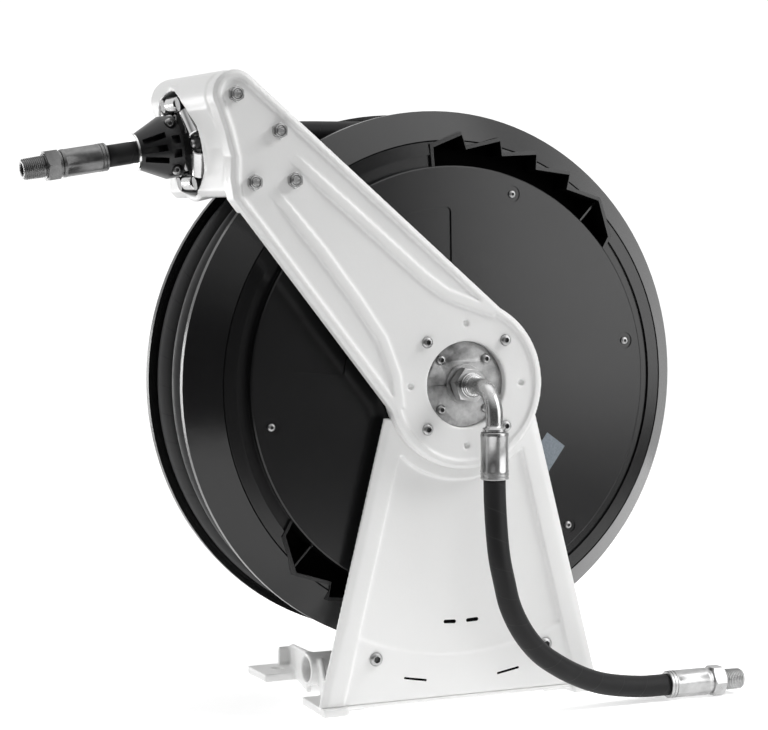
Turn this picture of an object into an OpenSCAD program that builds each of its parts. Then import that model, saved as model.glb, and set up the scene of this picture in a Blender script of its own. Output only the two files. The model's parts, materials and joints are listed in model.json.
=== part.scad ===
// Spring-rewind hose reel on one pedestal: a cast base and upright carry an arm with a
// six-roller hose guide, and an open drum turns on a fixed hollow spindle behind them.
// Origin: centre of the four anchor holes, on the floor. +X right, +Y back, +Z up, in mm.
// "Out" lengths run along the drum axis from the drum's middle plane towards the front.

/* [Drum] */
// Height of the rims above the floor
rim_clear = 47; // [46:1:65]
// Outer radius of both drum flanges
rim_r = 260; // [256:1:261]
// Clear width between the two flanges
drum_w = 100; // [98:1:104]
// Thickness of the flange plates
flange_t = 3.5; // [3:0.1:4.5]
// Width of the rolled lip round each rim
lip_w = 7; // [5:0.5:9]
// Thickness of the rolled lip
lip_t = 3; // [2.5:0.1:4]
// Width of the front flange's cone
cone_w = 28.5; // [25:0.5:31]
// How far the cone brings the front web forward
dish_out = 31; // [28:0.5:33]
// Width of the web between the cone and the pawl channel
web_w = 13.5; // [12:0.5:15]
// Width of the groove round the web's outer edge
groove_w = 1.4; // [1:0.1:2]
// Depth of the groove round the web's outer edge
groove_d = 1.3; // [1:0.1:1.5]
// Width of the shallow pawl channel
channel_w = 11.2; // [10.2:0.1:12.4]
// Depth of the pawl channel below the web
channel_depth = 2.5; // [2:0.1:3.5]
// Wall thickness of the moulded flange skin
skin_t = 3; // [2.5:0.1:3.5]
// Thickness of the drum cover
cover_t = 3; // [2.5:0.1:4]
// How far the cover's front stands in front of the flange plate
cover_out = 39; // [38:0.5:42]
// Distance of the cover's screws from its edge
cover_screw_in = 16.5; // [14:0.1:19]
// Radius of the cover's screw heads
cover_head_r = 4.6; // [4:0.1:5.5]
// Number of cover screws
cover_screws_n = 6; // [4:1:8]
// Wall thickness of the barrel
barrel_t = 6.5; // [5:0.5:8]
// Distance of the tie screws from the inside of the barrel
tie_in = 5.6; // [5:0.1:7]
// Number of stiffening ribs on the rear flange
rear_ribs_n = 12; // [6:1:18]
// Height of the rear flange's ribs
rear_rib_h = 8.5; // [6:0.5:12]

/* [Ratchet] */
// How far the tooth tips reach past the web
tooth_reach = 4.8; // [4:0.1:5.5]
// Depth of the teeth
tooth_h = 13.5; // [12:0.1:14.5]
// Angle between two teeth
tooth_pitch = 10; // [9.5:0.1:10.2]
// Wall round the ratchet pockets
pocket_wall = 3.5; // [2.5:0.1:4]
// Radius of the pawl's pivot pin
pawl_pin_r = 2.5; // [2:0.1:3]
// Length of the pawl from its pivot to its tip
pawl_l = 21; // [16:0.5:22]
// Axial thickness of the pawl
pawl_t = 8; // [7:0.1:8.5]

/* [Hose] */
// Outer radius of the hose
hose_r = 10.4; // [10:0.1:10.5]
// Distance of the outermost turn's centre line from the rim
wrap_in = 19; // [18:0.5:21]
// Distance between neighbouring turns in a layer
turn_pitch = 21.4; // [21.3:0.1:22]
// Radial step from one layer to the next
layer_step = 18.6; // [18.6:0.1:19.5]
// Radius of a crimped ferrule
ferrule_r = 13.2; // [12.5:0.1:14]
// Length of a crimped ferrule
ferrule_l = 44; // [38:1:50]
// Width across flats of the end fittings
fitting_af = 27; // [25:0.5:27.6]
// Radius of the male end threads
thread_r = 10.3; // [9.5:0.1:10.5]
// Length of the male end threads
thread_l = 21; // [18:1:24]
// Radius of the bore through the end fittings
fitting_bore_r = 5.5; // [4:0.1:6.5]

/* [Pedestal] */
// Depth of the upright casting
ped_t = 14.5; // [13:0.5:17]
// Gap between the upright and the drum cover
ped_gap = 2.5; // [2:0.1:4]
// Half width of the upright at its shoulder
shoulder_x = 79.8; // [78:0.2:84]
// Drop of the shoulder below the drum axis
shoulder_drop = 30; // [26:1:34]
// Half width of the upright at its foot
ped_foot_x = 148; // [147:0.5:150]
// Radius of the upright's round head
ped_head_r = 76; // [74:0.5:78]
// Thickness of the upright's front plate at its edges
plate_edge_t = 5; // [4:0.5:7]
// Width of the bevel along the upright's sloping edges
edge_bevel_w = 8; // [5:0.5:10]
// Depth of the bevel along the upright's sloping edges
edge_bevel_d = 2; // [1:0.5:3.5]
// Depth of the panel pressed into the front face
panel_depth = 3.5; // [2:0.5:4.5]
// Width of the margin beside the panel
panel_margin = 24; // [20:0.5:28]
// Radius of the arc that ends the panel under the arm ring
panel_arc_r = 91; // [86:0.5:95]
// Height of the crease arc across the panel
crease_h = 47.5; // [43:0.5:52]
// Half spacing of the two screws that hold the upright
ped_screw_x = 90; // [84:0.5:94]
// Height of those screws above the floor
ped_screw_h = 50; // [46:0.5:52]
// Radius of the screws that hold the upright
ped_screw_r = 4; // [3:0.1:4.5]

/* [Base] */
// Thickness of the feet
foot_t = 8; // [6:0.5:10]
// Distance of the front feet's edge before the drum's middle
base_front = 114.5; // [113:0.5:118]
// Distance of the rear feet's edge behind the drum's middle
base_rear = 115.5; // [113:0.5:125]
// Half width of the base at the front feet
foot_front_x = 146; // [146:0.5:150]
// Half width of the base at the rear feet
foot_rear_x = 136; // [134:0.5:142]
// Height of the base walls beside the cross tube
base_h = 41; // [40:0.5:43]
// Height of the base walls at the back
base_rear_h = 30; // [26:0.5:36]
// Thickness of the base walls
base_wall = 5; // [4:0.5:6]
// Half width over the side walls at the cross tube
web_x = 117; // [115:0.5:118]
// Half width over the side walls at the back
web_rear_x = 93; // [88:0.5:95]
// Half spacing of the anchor holes across the base
anchor_x = 112; // [110:0.5:113]
// Distance of the front anchor holes before the drum's middle
front_hole_y = 70; // [66:0.5:74]
// Distance of the rear anchor holes behind the drum's middle
rear_hole_y = 92; // [88:0.5:100]
// Radius of the anchor holes
anchor_r = 5.5; // [4.5:0.1:6]
// Outer radius of the cross tube
tube_r = 16.2; // [15:0.1:17]
// Bore radius of the cross tube
tube_bore_r = 12; // [10:0.1:13]
// Half length of the cross tube
tube_x = 119; // [118.5:0.5:122]
// Height of the cross tube's axis
tube_h = 24; // [23:0.5:25]

/* [Arm] */
// Thickness of the arm casting
arm_t = 13; // [11:0.5:15]
// Height of the beads and ribs on the arm's face
bead_h = 2; // [1:0.1:2.5]
// Outer radius of the ring at the hub end
ring_r = 80; // [79:0.5:83]
// Radius of the hole in the ring
ring_hole_r = 41; // [41:0.2:43]
// Distance of the arm's upper edge from the drum axis
upper_edge = 78; // [76:0.5:79]
// Distance of the arm's lower edge from the drum axis
lower_edge = 74; // [72:0.5:77]
// Radius of the round corner at the arm's top
lobe_r = 22; // [20:0.5:23]
// Radius of the circle of the ring's screws
ring_screw_r = 58; // [56:0.5:60]
// Radius of the ring screws' shanks
ring_shank_r = 3; // [2.5:0.1:3.5]
// Width of the two long ribs
rib_w = 9; // [7:0.5:11]
// Radius of the four head bolts
head_bolt_r = 4; // [3.5:0.1:4.5]

/* [Hose guide] */
// Distance of the roller circle's flats from its centre
guide_a = 37.5; // [36.5:0.1:37.6]
// Radius of a guide roller
roller_r = 7.5; // [6.5:0.1:7.6]
// Length of a guide roller
roller_l = 27; // [24:0.5:28]
// Radius of a roller pin
roller_pin_r = 2.5; // [2:0.1:2.6]
// Radius of the round opening that holds the roller frame
guide_hole_r = 50; // [49.8:0.1:50.5]
// Radius of the round boss around that opening
guide_boss_r = 56; // [54:0.5:57]
// Backward tilt of the roller frame in degrees
guide_tilt = 12; // [11:0.1:12.5]
// Downward slope of the outlet hose in degrees
outlet_tilt = 8.7; // [8.5:0.1:9]
// Radius of the hose stop's wide end
stop_r = 29.5; // [29:0.1:30]
// Radius of the hose stop's narrow end
stop_nose_r = 16.8; // [15:0.1:18]
// Length of the hose stop's cylinder
stop_cyl_l = 12; // [10:0.5:14]
// Length of the hose stop's cone
stop_cone_l = 26; // [24:0.5:28]
// Bare hose between the stop and the outlet ferrule
outlet_bare = 30; // [20:1:60]

/* [Spindle and inlet] */
// Radius of the fixed spindle
spindle_r = 15; // [14:0.1:15.5]
// Radius of the spindle's water bore
water_r = 7; // [5:0.1:8]
// Outer radius of the bearing bushes
bush_r = 18; // [17.5:0.1:19]
// Outer radius of the hub tubes in the drum
hub_r = 24; // [22:0.5:25]
// Radius of the spindle's mounting flange
hub_flange_r = 40.5; // [39:0.1:40.7]
// Thickness of the spindle's mounting flange
hub_flange_t = 4; // [3:0.5:5]
// Radius of the mounting flange's screw circle
hub_screw_r = 33.2; // [31:0.1:34]
// Radius of the inlet elbow tube
elbow_r = 8; // [7:0.1:9]
// Bend radius of the inlet elbow
elbow_bend = 26; // [22:0.5:30]
// Width across flats of the inlet swivel nut
nut_af = 30; // [28:0.5:32]

/* [Hidden] */
$fn = 96;
// Shared clearances
fit = 0.05;
slip = 0.1;
soft_gap = 0.3;
// The drum's middle plane, seen from the centre of the anchor holes
reel_y = -(rear_hole_y - front_hole_y) / 2;
axis_h = rim_r + rim_clear;
// Places along the drum axis, from the drum's middle plane to the front
plate_out = drum_w / 2;
flange_out = plate_out + flange_t;
web_crown = 1.5;
dish_top = flange_out + dish_out;
web_out = dish_top + web_crown;
cover_face = flange_out + cover_out;
seat_out = cover_face - cover_t;
ped_back = cover_face + ped_gap;
ped_face = ped_back + ped_t;
arm_face = ped_face + arm_t;
arm_pad = arm_face - bead_h;
// Radii that follow the rim
dish_r = rim_r - cone_w;
channel_r = dish_r - web_w;
cover_r = channel_r - channel_w;
cover_screw_r = cover_r - cover_screw_in;
wrap_r = rim_r - wrap_in;
seat_r = cover_r - soft_gap;
inner_layers = 2;
inner_turns = [4, 3];
barrel_r = wrap_r - inner_layers * layer_step - hose_r - soft_gap;
barrel_in_r = barrel_r - barrel_t;
tie_r = barrel_in_r - tie_in;
plate_in_r = tie_r - 11;
spring_r = barrel_in_r - 36;
rear_face = -flange_out - rear_rib_h;
rear_hub_r = 30;
tie_n = 6;
tie_shank_r = 2.5;
tie_phase = 40;
screw_phase = 10.6;
// Ratchet
tooth_tip_r = dish_r + tooth_reach;
tooth_crest_r = tooth_tip_r - tooth_h;
tooth_n = 5;
tooth_first = 87;
tooth_fall = 1.3;
pocket_start = 94.5;
pocket_end = 37;
pocket_sets = [0, 180];
pawl_angle = 262;
pawl_path_r = (cover_r + channel_r) / 2;
pawl_hub_r = 4.8;
pawl_gap = 1;
// Guide and outlet places, seen from the front with the drum axis as the origin
guide_at = [-(rim_r - 23), wrap_r - 12, 1.5];
outlet_at = [guide_at[0] - 3, guide_at[1] - 1.4, 0];
outlet_start = 7;
corner_r = guide_a / cos(30);
post_r = 6.4;
post_front = 6;
frame_plate_t = 6;
frame_z = roller_r + 1.5;
tunnel_r = 36;
stop_end = outlet_start + stop_cyl_l + stop_cone_l;
washer_t = 2.5;
outlet_ferrule_s = stop_end + outlet_bare;
fitting_hex_l = 16;
// Upper end of the arm, from the guide's centre
guide_xy = [guide_at[0], guide_at[1]];
lobe_at = guide_xy + [8, 41];
head_bolts_at = [for (p = [[7.8, 40.8], [49.4, 8.2], [24.8, -38.4], [63.9, -36.5]]) guide_xy + p];
arm_hollow = [for (p = [[-11, 30.3], [-3.6, 9], [2.5, -14.8], [2.3, -36.2]]) guide_xy + p];
arm_corner = guide_xy + [5, -53.7];
// The arm's edges touch the circles at its two ends
upper_dir = polar(1, angle_of(lobe_at) - acos((upper_edge - lobe_r) / norm(lobe_at)));
lower_dir = polar(1, angle_of(arm_corner) + acos(lower_edge / norm(arm_corner)));
head_clear_r = rim_r + 6;
head_back = -55;
head_lobe_r = 22.5;
head_plate_t = 11.5;
head_reach = 120;
head_bolt_l = 17.5;
// Inlet, along the spindle
adapter_l = 2;
adapter_r = 13;
nut_l = 12.5;
nut_turn = -10;
nut_nose = 3;
inlet_boss_l = 3.5;
spindle_tip = ped_face + hub_flange_t + inlet_boss_l;
nut_out = spindle_tip + adapter_l;
elbow_out = nut_out + nut_l;
elbow_lead = 21;
elbow_y = reel_y - (elbow_out + elbow_lead + elbow_bend);
elbow_drop = elbow_bend + 10;
collar_t = 4;
inlet_ferrule_z = axis_h - elbow_drop - collar_t;
// Free inlet hose: chosen points from the elbow's ferrule to the end fitting
hose_drop_z = inlet_ferrule_z - ferrule_l;
inlet_end = [186, -187, 13.9];
inlet_end_turn = -3;
inlet_route = [
    [0, elbow_y, hose_drop_z], [0, -190, 205], [0, -192, 186], [0, -195, 167], [1, -198, 148],
    [5, -199, 128], [10, -199, 108], [18, -199, 90], [29, -199, 73], [43, -198.5, 58],
    [60, -198, 46], [78, -196, 36], [96, -193.5, 28], [114, -191, 22], [136, -189, 17.5],
    [160, -187.5, 14.5], inlet_end];
hose_sides = 12;

painted = [0.93, 0.93, 0.92];
plastic = [0.13, 0.13, 0.14];
rubber = [0.07, 0.07, 0.07];
zinc = [0.72, 0.73, 0.75];
steel = [0.8, 0.81, 0.83];
casting = [0.6, 0.61, 0.62];
black = [0.05, 0.05, 0.05];
blank = [0.45, 0.52, 0.6];

// ---------------------------------------------------------------- helpers

function polar(r, a) = [r * cos(a), r * sin(a)];

function angle_of(v) = atan2(v[1], v[0]);

function dot2(a, b) = a[0] * b[0] + a[1] * b[1];

function unit(v) = v / norm(v);

function arc(c, r, a0, a1, n) =
    [for (i = [0:n]) c + polar(r, a0 + (a1 - a0) * i / n)];

// Unit normal of a polyline at point i
function normal_at(p, i) =
    let (a = p[max(i - 1, 0)], b = p[min(i + 1, len(p) - 1)], t = unit(b - a)) [-t[1], t[0]];

// Closed outline of a band of width w along a polyline
function band(p, w) = concat(
    [for (i = [0:len(p) - 1]) p[i] + normal_at(p, i) * w / 2],
    [for (i = [len(p) - 1:-1:0]) p[i] - normal_at(p, i) * w / 2]);

// Drum frame: x right, y up, z along the axis towards the front
module reel() {
    translate([0, reel_y, axis_h]) rotate([90, 0, 0]) children();
}

// Floor frame under the drum's middle plane
module under_drum() {
    translate([0, reel_y, 0]) children();
}

module turned(profile) {
    rotate_extrude($fn = 180) polygon(profile);
}

module ring(r_in, r_out, z0, z1) {
    translate([0, 0, z0]) difference() {
        cylinder(r = r_out, h = z1 - z0);
        translate([0, 0, -1]) cylinder(r = r_in, h = z1 - z0 + 2);
    }
}

module hex(af, h) {
    cylinder(r = af / 2 / cos(30), h = h, $fn = 6);
}

// Round-headed socket screw: the head's seat is at z = 0
module socket_screw(shank_r, head_r, head_h, shank_l) {
    socket_r = shank_r * 0.7;
    translate([0, 0, -shank_l]) cylinder(r = shank_r, h = shank_l, $fn = 32);
    difference() {
        rotate_extrude($fn = 32) polygon(concat(
            [[0, 0], [head_r, 0]], arc([head_r * 0.55, head_h - head_r * 0.45],
                head_r * 0.45, 0, 90, 4), [[0, head_h]]));
        translate([0, 0, head_h - head_h * 0.6]) hex(socket_r * 2, head_h);
    }
}

module around(n, phase = 0) {
    for (i = [0:n - 1]) rotate(phase + i * 360 / n) children();
}

module at_guide() {
    translate(guide_at) rotate(guide_tilt) children();
}

module at_outlet() {
    translate(outlet_at) rotate(outlet_tilt) rotate([0, -90, 0]) children();
}

module mirrored_x() {
    children();
    mirror([1, 0, 0]) children();
}

// ---------------------------------------------------------------- base

// Plan of the left front foot with its inner anchor lug
function front_foot_plan() = [
    [-foot_front_x, -base_front + 2], [-foot_front_x + 2, -base_front], [-120, -base_front],
    [-117, -ped_back], [-96, -ped_back], [-96, -front_hole_y + 14],
    [-foot_front_x + 28, -50], [-foot_front_x + 4, -50]];

function rear_foot_plan() = [
    [-foot_rear_x, rear_hole_y - 28], [-foot_rear_x, base_rear - 2],
    [-foot_rear_x + 2, base_rear], [-90, base_rear], [-92, rear_hole_y - 28]];

// The slanted wall runs from the front corner in to the cross tube
function slant_plan() = [
    [-ped_foot_x + 5, plate_edge_t - ped_face + slip],
    [-ped_foot_x + 10, plate_edge_t - ped_face + slip],
    [-web_x + 17, -2], [-web_x + 12, -2]];

// Side wall from the cross tube to the back, lower and rounded at its end
module rear_web() {
    end_y = base_rear - 9;
    round_r = 9;
    intersection() {
        linear_extrude(base_h) polygon([[-web_x, 0], [-web_x + base_wall, 0],
            [-web_rear_x + base_wall, end_y], [-web_rear_x, end_y]]);
        translate([-web_x - 1, 0, 0]) rotate([90, 0, 90]) linear_extrude(web_x)
            polygon(concat([[0, base_h], [0, 0], [end_y, 0]],
                arc([end_y - round_r, base_rear_h - round_r], round_r, 0, 90, 6)));
    }
}

module base_side() {
    rear_lug = 13;
    slant_drop = 5;
    linear_extrude(foot_t) polygon(front_foot_plan());
    linear_extrude(foot_t) polygon(rear_foot_plan());
    linear_extrude(base_h - slant_drop) polygon(slant_plan());
    rear_web();
    translate([-web_rear_x - rear_lug, base_rear - 9 - base_wall, foot_t / 2])
        cube([rear_lug + base_wall, base_wall, base_rear_h - 3 - foot_t / 2]);
    translate([-web_rear_x, base_rear - 14, 0]) cube([web_rear_x, 14, foot_t - 2]);
    translate([-tube_x, -2, tube_h]) rotate([0, 90, 0]) cylinder(r = tube_r, h = tube_x);
    translate([-ped_screw_x, -ped_back, ped_screw_h]) rotate([-90, 0, 0])
        cylinder(r = 11, h = 13);
}

module base() {
    front_wall_t = 7;
    front_wall_x = 128;
    color(painted) under_drum() difference() {
        union() {
            mirrored_x() base_side();
            translate([-front_wall_x, -ped_back, foot_t / 2])
                cube([2 * front_wall_x, front_wall_t, ped_screw_h + 6 - foot_t / 2]);
            translate([-front_wall_x, -ped_face + 1, foot_t / 2])
                cube([2 * front_wall_x, ped_t + 3, foot_t / 2]);
        }
        mirrored_x() {
            for (y = [-front_hole_y, rear_hole_y])
                translate([-anchor_x, y, -1]) cylinder(r = anchor_r, h = foot_t + 2);
            translate([-ped_screw_x, -ped_back - 1, ped_screw_h]) rotate([-90, 0, 0])
                cylinder(r = ped_screw_r + slip, h = 11, $fn = 32);
        }
        translate([-tube_x - 1, -2, tube_h]) rotate([0, 90, 0])
            cylinder(r = tube_bore_r, h = 2 * tube_x + 2);
    }
}

// ---------------------------------------------------------------- pedestal

// Half width of the upright at a height above the drum axis
function ped_half(y) =
    shoulder_x + (ped_foot_x - shoulder_x) * (-y - shoulder_drop)
        / (axis_h - foot_t - shoulder_drop);

module ped_plan(inset, y0, y1) {
    polygon([[-ped_half(y0) + inset, y0], [ped_half(y0) - inset, y0],
        [ped_half(y1) - inset, y1], [-ped_half(y1) + inset, y1]]);
}

module ped_screw_places() {
    mirrored_x() translate([-ped_screw_x, ped_screw_h - axis_h, 0]) children();
}

// A slot with round ends, cut into the face
module slot(length, width, depth) {
    translate([0, 0, -depth]) {
        for (s = [-1, 1]) translate([s * (length - width) / 2, 0, 0])
            cylinder(r = width / 2, h = depth + 1, $fn = 24);
        translate([-(length - width) / 2, -width / 2, 0]) cube([length - width, width, depth + 1]);
    }
}

// Wedge that bevels one sloping edge of the front face
module edge_bevel(foot_y) {
    rise = -shoulder_drop - foot_y;
    lean = atan((ped_foot_x - shoulder_x) / rise);
    translate([ped_foot_x - edge_bevel_w, foot_y, ped_face]) rotate(lean)
        rotate([0, atan(edge_bevel_d / edge_bevel_w), 0])
            translate([0, -20, 0]) cube([3 * edge_bevel_w, rise + 60, 3 * edge_bevel_d]);
}

// Front plate and set-back core, hollowed from behind between the head and the foot
module pedestal_shell(foot_y) {
    core_in = 15;
    face_t = 4;
    hollow_low = ped_screw_h + 22 - axis_h;
    difference() {
        union() {
            translate([0, 0, ped_face - plate_edge_t]) linear_extrude(plate_edge_t)
                ped_plan(0, foot_y, -shoulder_drop);
            translate([0, 0, ped_back]) linear_extrude(ped_t - 1)
                ped_plan(core_in, foot_y, -shoulder_drop);
            translate([0, 0, ped_back]) cylinder(r = ped_head_r, h = ped_t);
        }
        translate([0, 0, ped_back - 1]) linear_extrude(ped_t - panel_depth - face_t + 1)
            ped_plan(core_in + base_wall, hollow_low, -panel_arc_r - face_t);
    }
}

module pedestal() {
    foot_y = foot_t - axis_h;
    boss_r = 16;
    step = panel_depth / 2;
    slot_w = 3.6;
    slot_r = axis_h - 79.3;
    low_slot_w = 2.8;
    crease_r = axis_h - crease_h;
    color(painted) reel() difference() {
        union() {
            pedestal_shell(foot_y);
            rotate(pawl_angle) translate([pawl_path_r, 0, ped_back])
                cylinder(r = pawl_pin_r + 6.5, h = ped_t - panel_depth - 1);
        }
        mirrored_x() edge_bevel(foot_y);
        translate([0, 0, ped_face - panel_depth]) difference() {
            linear_extrude(panel_depth + 1) ped_plan(panel_margin, foot_y - 1, -shoulder_drop);
            translate([0, 0, -1]) cylinder(r = panel_arc_r, h = panel_depth + 3);
            translate([0, 0, -1]) ring(crease_r, crease_r + 140, 0, step + 1);
        }
        ped_screw_places() translate([0, 0, ped_face - step]) cylinder(r = boss_r, h = step + 1);
        ped_screw_places() translate([0, 0, ped_back - 1])
            cylinder(r = ped_screw_r + slip, h = ped_t + 2, $fn = 32);
        mirrored_x() {
            rotate(-90 - 3) translate([slot_r, 0, ped_face - panel_depth]) rotate(90)
                slot(13, slot_w, 5);
            rotate(-90 - 10) translate([crease_r + 24.3, 0, ped_face - step]) rotate(90)
                slot(24, low_slot_w, 8);
        }
        ring(0, bush_r + 2, ped_back - 1, ped_face + 1);
        around(4, 45) translate([ring_screw_r, 0, ped_back + 4])
            cylinder(r = ring_shank_r + fit, h = ped_t, $fn = 32);
        around(4, 45) translate([hub_screw_r, 0, ped_back + 4])
            cylinder(r = 2.6 + fit, h = ped_t, $fn = 32);
        rotate(pawl_angle) translate([pawl_path_r, 0, ped_back - 1])
            cylinder(r = pawl_pin_r + fit, h = 7, $fn = 32);
    }
}

module pedestal_screws() {
    color(steel) reel() ped_screw_places() translate([0, 0, ped_face - panel_depth / 2])
        socket_screw(ped_screw_r, 7, 3.5, ped_t - panel_depth / 2 + 9);
}

// ---------------------------------------------------------------- arm

// Outline of the arm, drawn in by d from its outer edge
module arm_outline(d) {
    lobe_far = dot2(upper_dir, lobe_at);
    up = upper_edge - d;
    low = lower_edge - d;
    corner_x = arm_corner[0] + d;
    corner = [corner_x, (low - lower_dir[0] * corner_x) / lower_dir[1]];
    circle(r = ring_r - d);
    translate(lobe_at) circle(r = lobe_r - d);
    polygon(concat(
        [[0, 0], upper_dir * up, lobe_at + upper_dir * (up - lobe_far), lobe_at],
        [for (p = arm_hollow) p + [d, 0]], [corner, lower_dir * low]));
}

upper_rib = [guide_xy + [61, -15], [-71, 125], [-44, 102], [-21, 86], [12, 74], [30, 68]];
lower_rib = [guide_xy + [41, -45], [-148, 128], [-114, 84], [-87, 45], [-74, 12], [-70, -20]];

module ring_screw_places() {
    around(4, 45) translate([ring_screw_r, 0, 0]) children();
}

module arm() {
    bead_in = 3;
    bead_w = 5;
    color(painted) reel() difference() {
        union() {
            translate([0, 0, ped_face]) linear_extrude(arm_t - bead_h) arm_outline(0);
            translate([0, 0, arm_pad - 1]) linear_extrude(bead_h + 1) difference() {
                arm_outline(bead_in);
                arm_outline(bead_in + bead_w);
            }
            for (rib = [upper_rib, lower_rib])
                translate([0, 0, arm_pad - 1]) linear_extrude(bead_h + 1)
                    polygon(band(rib, rib_w));
        }
        ring(0, ring_hole_r, ped_face - 1, arm_face + 1);
        ring_screw_places() translate([0, 0, ped_face - 1])
            cylinder(r = ring_shank_r + 0.2, h = arm_t + 2, $fn = 32);
        around(4) translate([ring_screw_r, 0, arm_pad - 4]) cylinder(r = 3, h = 5, $fn = 32);
        for (p = head_bolts_at) translate([p[0], p[1], ped_face - 1])
            cylinder(r = head_bolt_r + slip, h = arm_t + 2, $fn = 32);
    }
}

module arm_screws() {
    color(steel) reel() ring_screw_places() translate([0, 0, arm_pad])
        socket_screw(ring_shank_r, 5.4, 4, arm_t - bead_h + 8);
}

// ---------------------------------------------------------------- guide head

module head_plan() {
    translate(lobe_at) circle(r = head_lobe_r);
    translate(guide_xy) polygon([[8, 63], [-12, 29], [-3.5, 11], [2, -7], [4, -25], [4, -45],
        [10, -51], [34, -51], [72, -24], [72, 11], [31, 54]]);
}

module guide_head() {
    boss_l = 26;
    color(painted) reel() difference() {
        union() {
            translate([0, 0, head_back]) linear_extrude(ped_face - head_plate_t - head_back + 1)
                head_plan();
            at_guide() rotate([0, 90, 0]) translate([0, 0, -2])
                cylinder(r = guide_boss_r, h = boss_l);
            translate([0, 0, ped_face - head_plate_t]) linear_extrude(head_plate_t) intersection() {
                arm_outline(1);
                translate(guide_xy + [-43, -66]) square([132, 147]);
            }
        }
        translate([0, 0, -head_reach]) cylinder(r = head_clear_r, $fn = 180,
            h = head_reach + ped_face - head_plate_t);
        at_guide() rotate([0, 90, 0]) {
            translate([0, 0, -guide_boss_r])
                cylinder(r = guide_hole_r, h = guide_boss_r + frame_z + frame_plate_t);
            cylinder(r = tunnel_r, h = 2 * guide_boss_r);
        }
        for (p = head_bolts_at) translate([p[0], p[1], ped_face - head_bolt_l - 0.5])
            cylinder(r = head_bolt_r + slip, h = head_bolt_l + 1, $fn = 32);
        guide_screw_places() translate([0, 0, frame_z]) cylinder(r = 2 + fit, h = 17, $fn = 24);
    }
}

module head_bolts() {
    color(zinc) reel() for (p = head_bolts_at)
        translate([p[0], p[1], ped_face - head_bolt_l])
            cylinder(r = head_bolt_r, h = head_bolt_l + arm_t - bead_h + 6.5, $fn = 32);
}

module head_nuts() {
    nut_h = 4.5;
    nut_across = 13;
    color(zinc) reel() for (p = head_bolts_at)
        translate([p[0], p[1], arm_pad]) rotate(30) difference() {
            hex(nut_across, nut_h);
            translate([0, 0, -1]) cylinder(r = head_bolt_r + fit, h = nut_h + 2, $fn = 32);
        }
}

// ---------------------------------------------------------------- hose guide

// Frame of roller k: y to the roller's centre line, z along the roller
module roller_place(k) {
    reel() at_guide() rotate([60 * k, 0, 0]) translate([0, guide_a, 0]) children();
}

// Front and rear corners of the frame, z along the hose from the outlet inwards
module guide_screw_places() {
    at_guide() for (s = [-1, 1]) translate([0, 0, s * corner_r]) rotate([0, 90, 0]) children();
}

module roller(k) {
    pin_gap = roller_pin_r + fit;
    chamfer = 0.8;
    color(steel) roller_place(k) translate([0, 0, -roller_l / 2]) turned([
        [pin_gap, 0], [roller_r - chamfer, 0], [roller_r, chamfer],
        [roller_r, roller_l - chamfer], [roller_r - chamfer, roller_l], [pin_gap, roller_l]]);
}

module guide_pins() {
    pin_l = 2 * (guide_a * tan(30) - 3.4);
    color(steel) for (k = [0:5]) roller_place(k)
        translate([0, 0, -pin_l / 2]) cylinder(r = roller_pin_r, h = pin_l, $fn = 32);
}

module guide_frame() {
    color(black) reel() at_guide() difference() {
        union() {
            rotate([0, 90, 0]) ring(tunnel_r, guide_hole_r - fit, frame_z, frame_z + frame_plate_t);
            for (k = [0:5]) rotate([60 * k + 30, 0, 0]) translate([-post_front, corner_r, 0])
                rotate([0, 90, 0]) cylinder(r = post_r, h = post_front + frame_z + 1, $fn = 32);
        }
        for (k = [0:5]) rotate([60 * k, 0, 0]) translate([0, guide_a, -corner_r])
            cylinder(r = roller_pin_r + 0.02, h = 2 * corner_r, $fn = 32);
        for (s = [-1, 1]) translate([-30, 0, s * corner_r]) rotate([0, 90, 0])
            cylinder(r = 2 + fit, h = 60, $fn = 24);
    }
}

module guide_screws() {
    color(steel) reel() guide_screw_places() translate([0, 0, -post_front]) rotate([180, 0, 0])
        socket_screw(2, 3.8, 2.4, post_front + frame_z + frame_plate_t + 9);
}

// ---------------------------------------------------------------- hose stop and outlet

stop_screw_s = outlet_start + stop_cyl_l / 2 + 1;
stop_screw_h = stop_r - 7.5;

module stop_body() {
    bore = hose_r + slip;
    window_angles = [-13, 13, 167, 193];
    slot_angles = [-26, 0, 26, 154, 180, 206];
    difference() {
        translate([0, 0, outlet_start]) turned([
            [bore, 0], [stop_r, 0], [stop_r, stop_cyl_l],
            [stop_nose_r, stop_cyl_l + stop_cone_l], [bore, stop_cyl_l + stop_cone_l]]);
        for (a = slot_angles) rotate(a)
            translate([hose_r + 3, -3, outlet_start + stop_cyl_l + 3])
                cube([stop_r, 6, stop_cone_l - 6]);
        for (a = window_angles) rotate(a)
            translate([stop_r - 9, -4, outlet_start + 2.5]) cube([12, 8, stop_cyl_l - 4]);
        for (s = [-1, 1]) translate([0, s * stop_screw_h, stop_screw_s]) rotate([0, 90, 0]) {
            translate([0, 0, -stop_r]) cylinder(r = 2.6, h = 2 * stop_r, $fn = 24);
            translate([0, 0, stop_r - 13]) cylinder(r = 5.4, h = 20, $fn = 32);
            translate([0, 0, -stop_r - 7]) cylinder(r = 5.4, h = 20, $fn = 32);
        }
    }
}

module stop_half(side) {
    split = 0.2;
    intersection() {
        stop_body();
        translate([side > 0 ? split : -stop_r - 5 - split, -stop_r - 5, 0])
            cube([stop_r + 5, 2 * stop_r + 10, stop_end + 5]);
    }
}

module hose_stop_front() {
    color(black) reel() at_outlet() stop_half(1);
}

module hose_stop_rear() {
    color(black) reel() at_outlet() stop_half(-1);
}

module stop_screw_places() {
    at_outlet() for (s = [-1, 1]) translate([0, s * stop_screw_h, stop_screw_s])
        rotate([0, 90, 0]) children();
}

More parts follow.
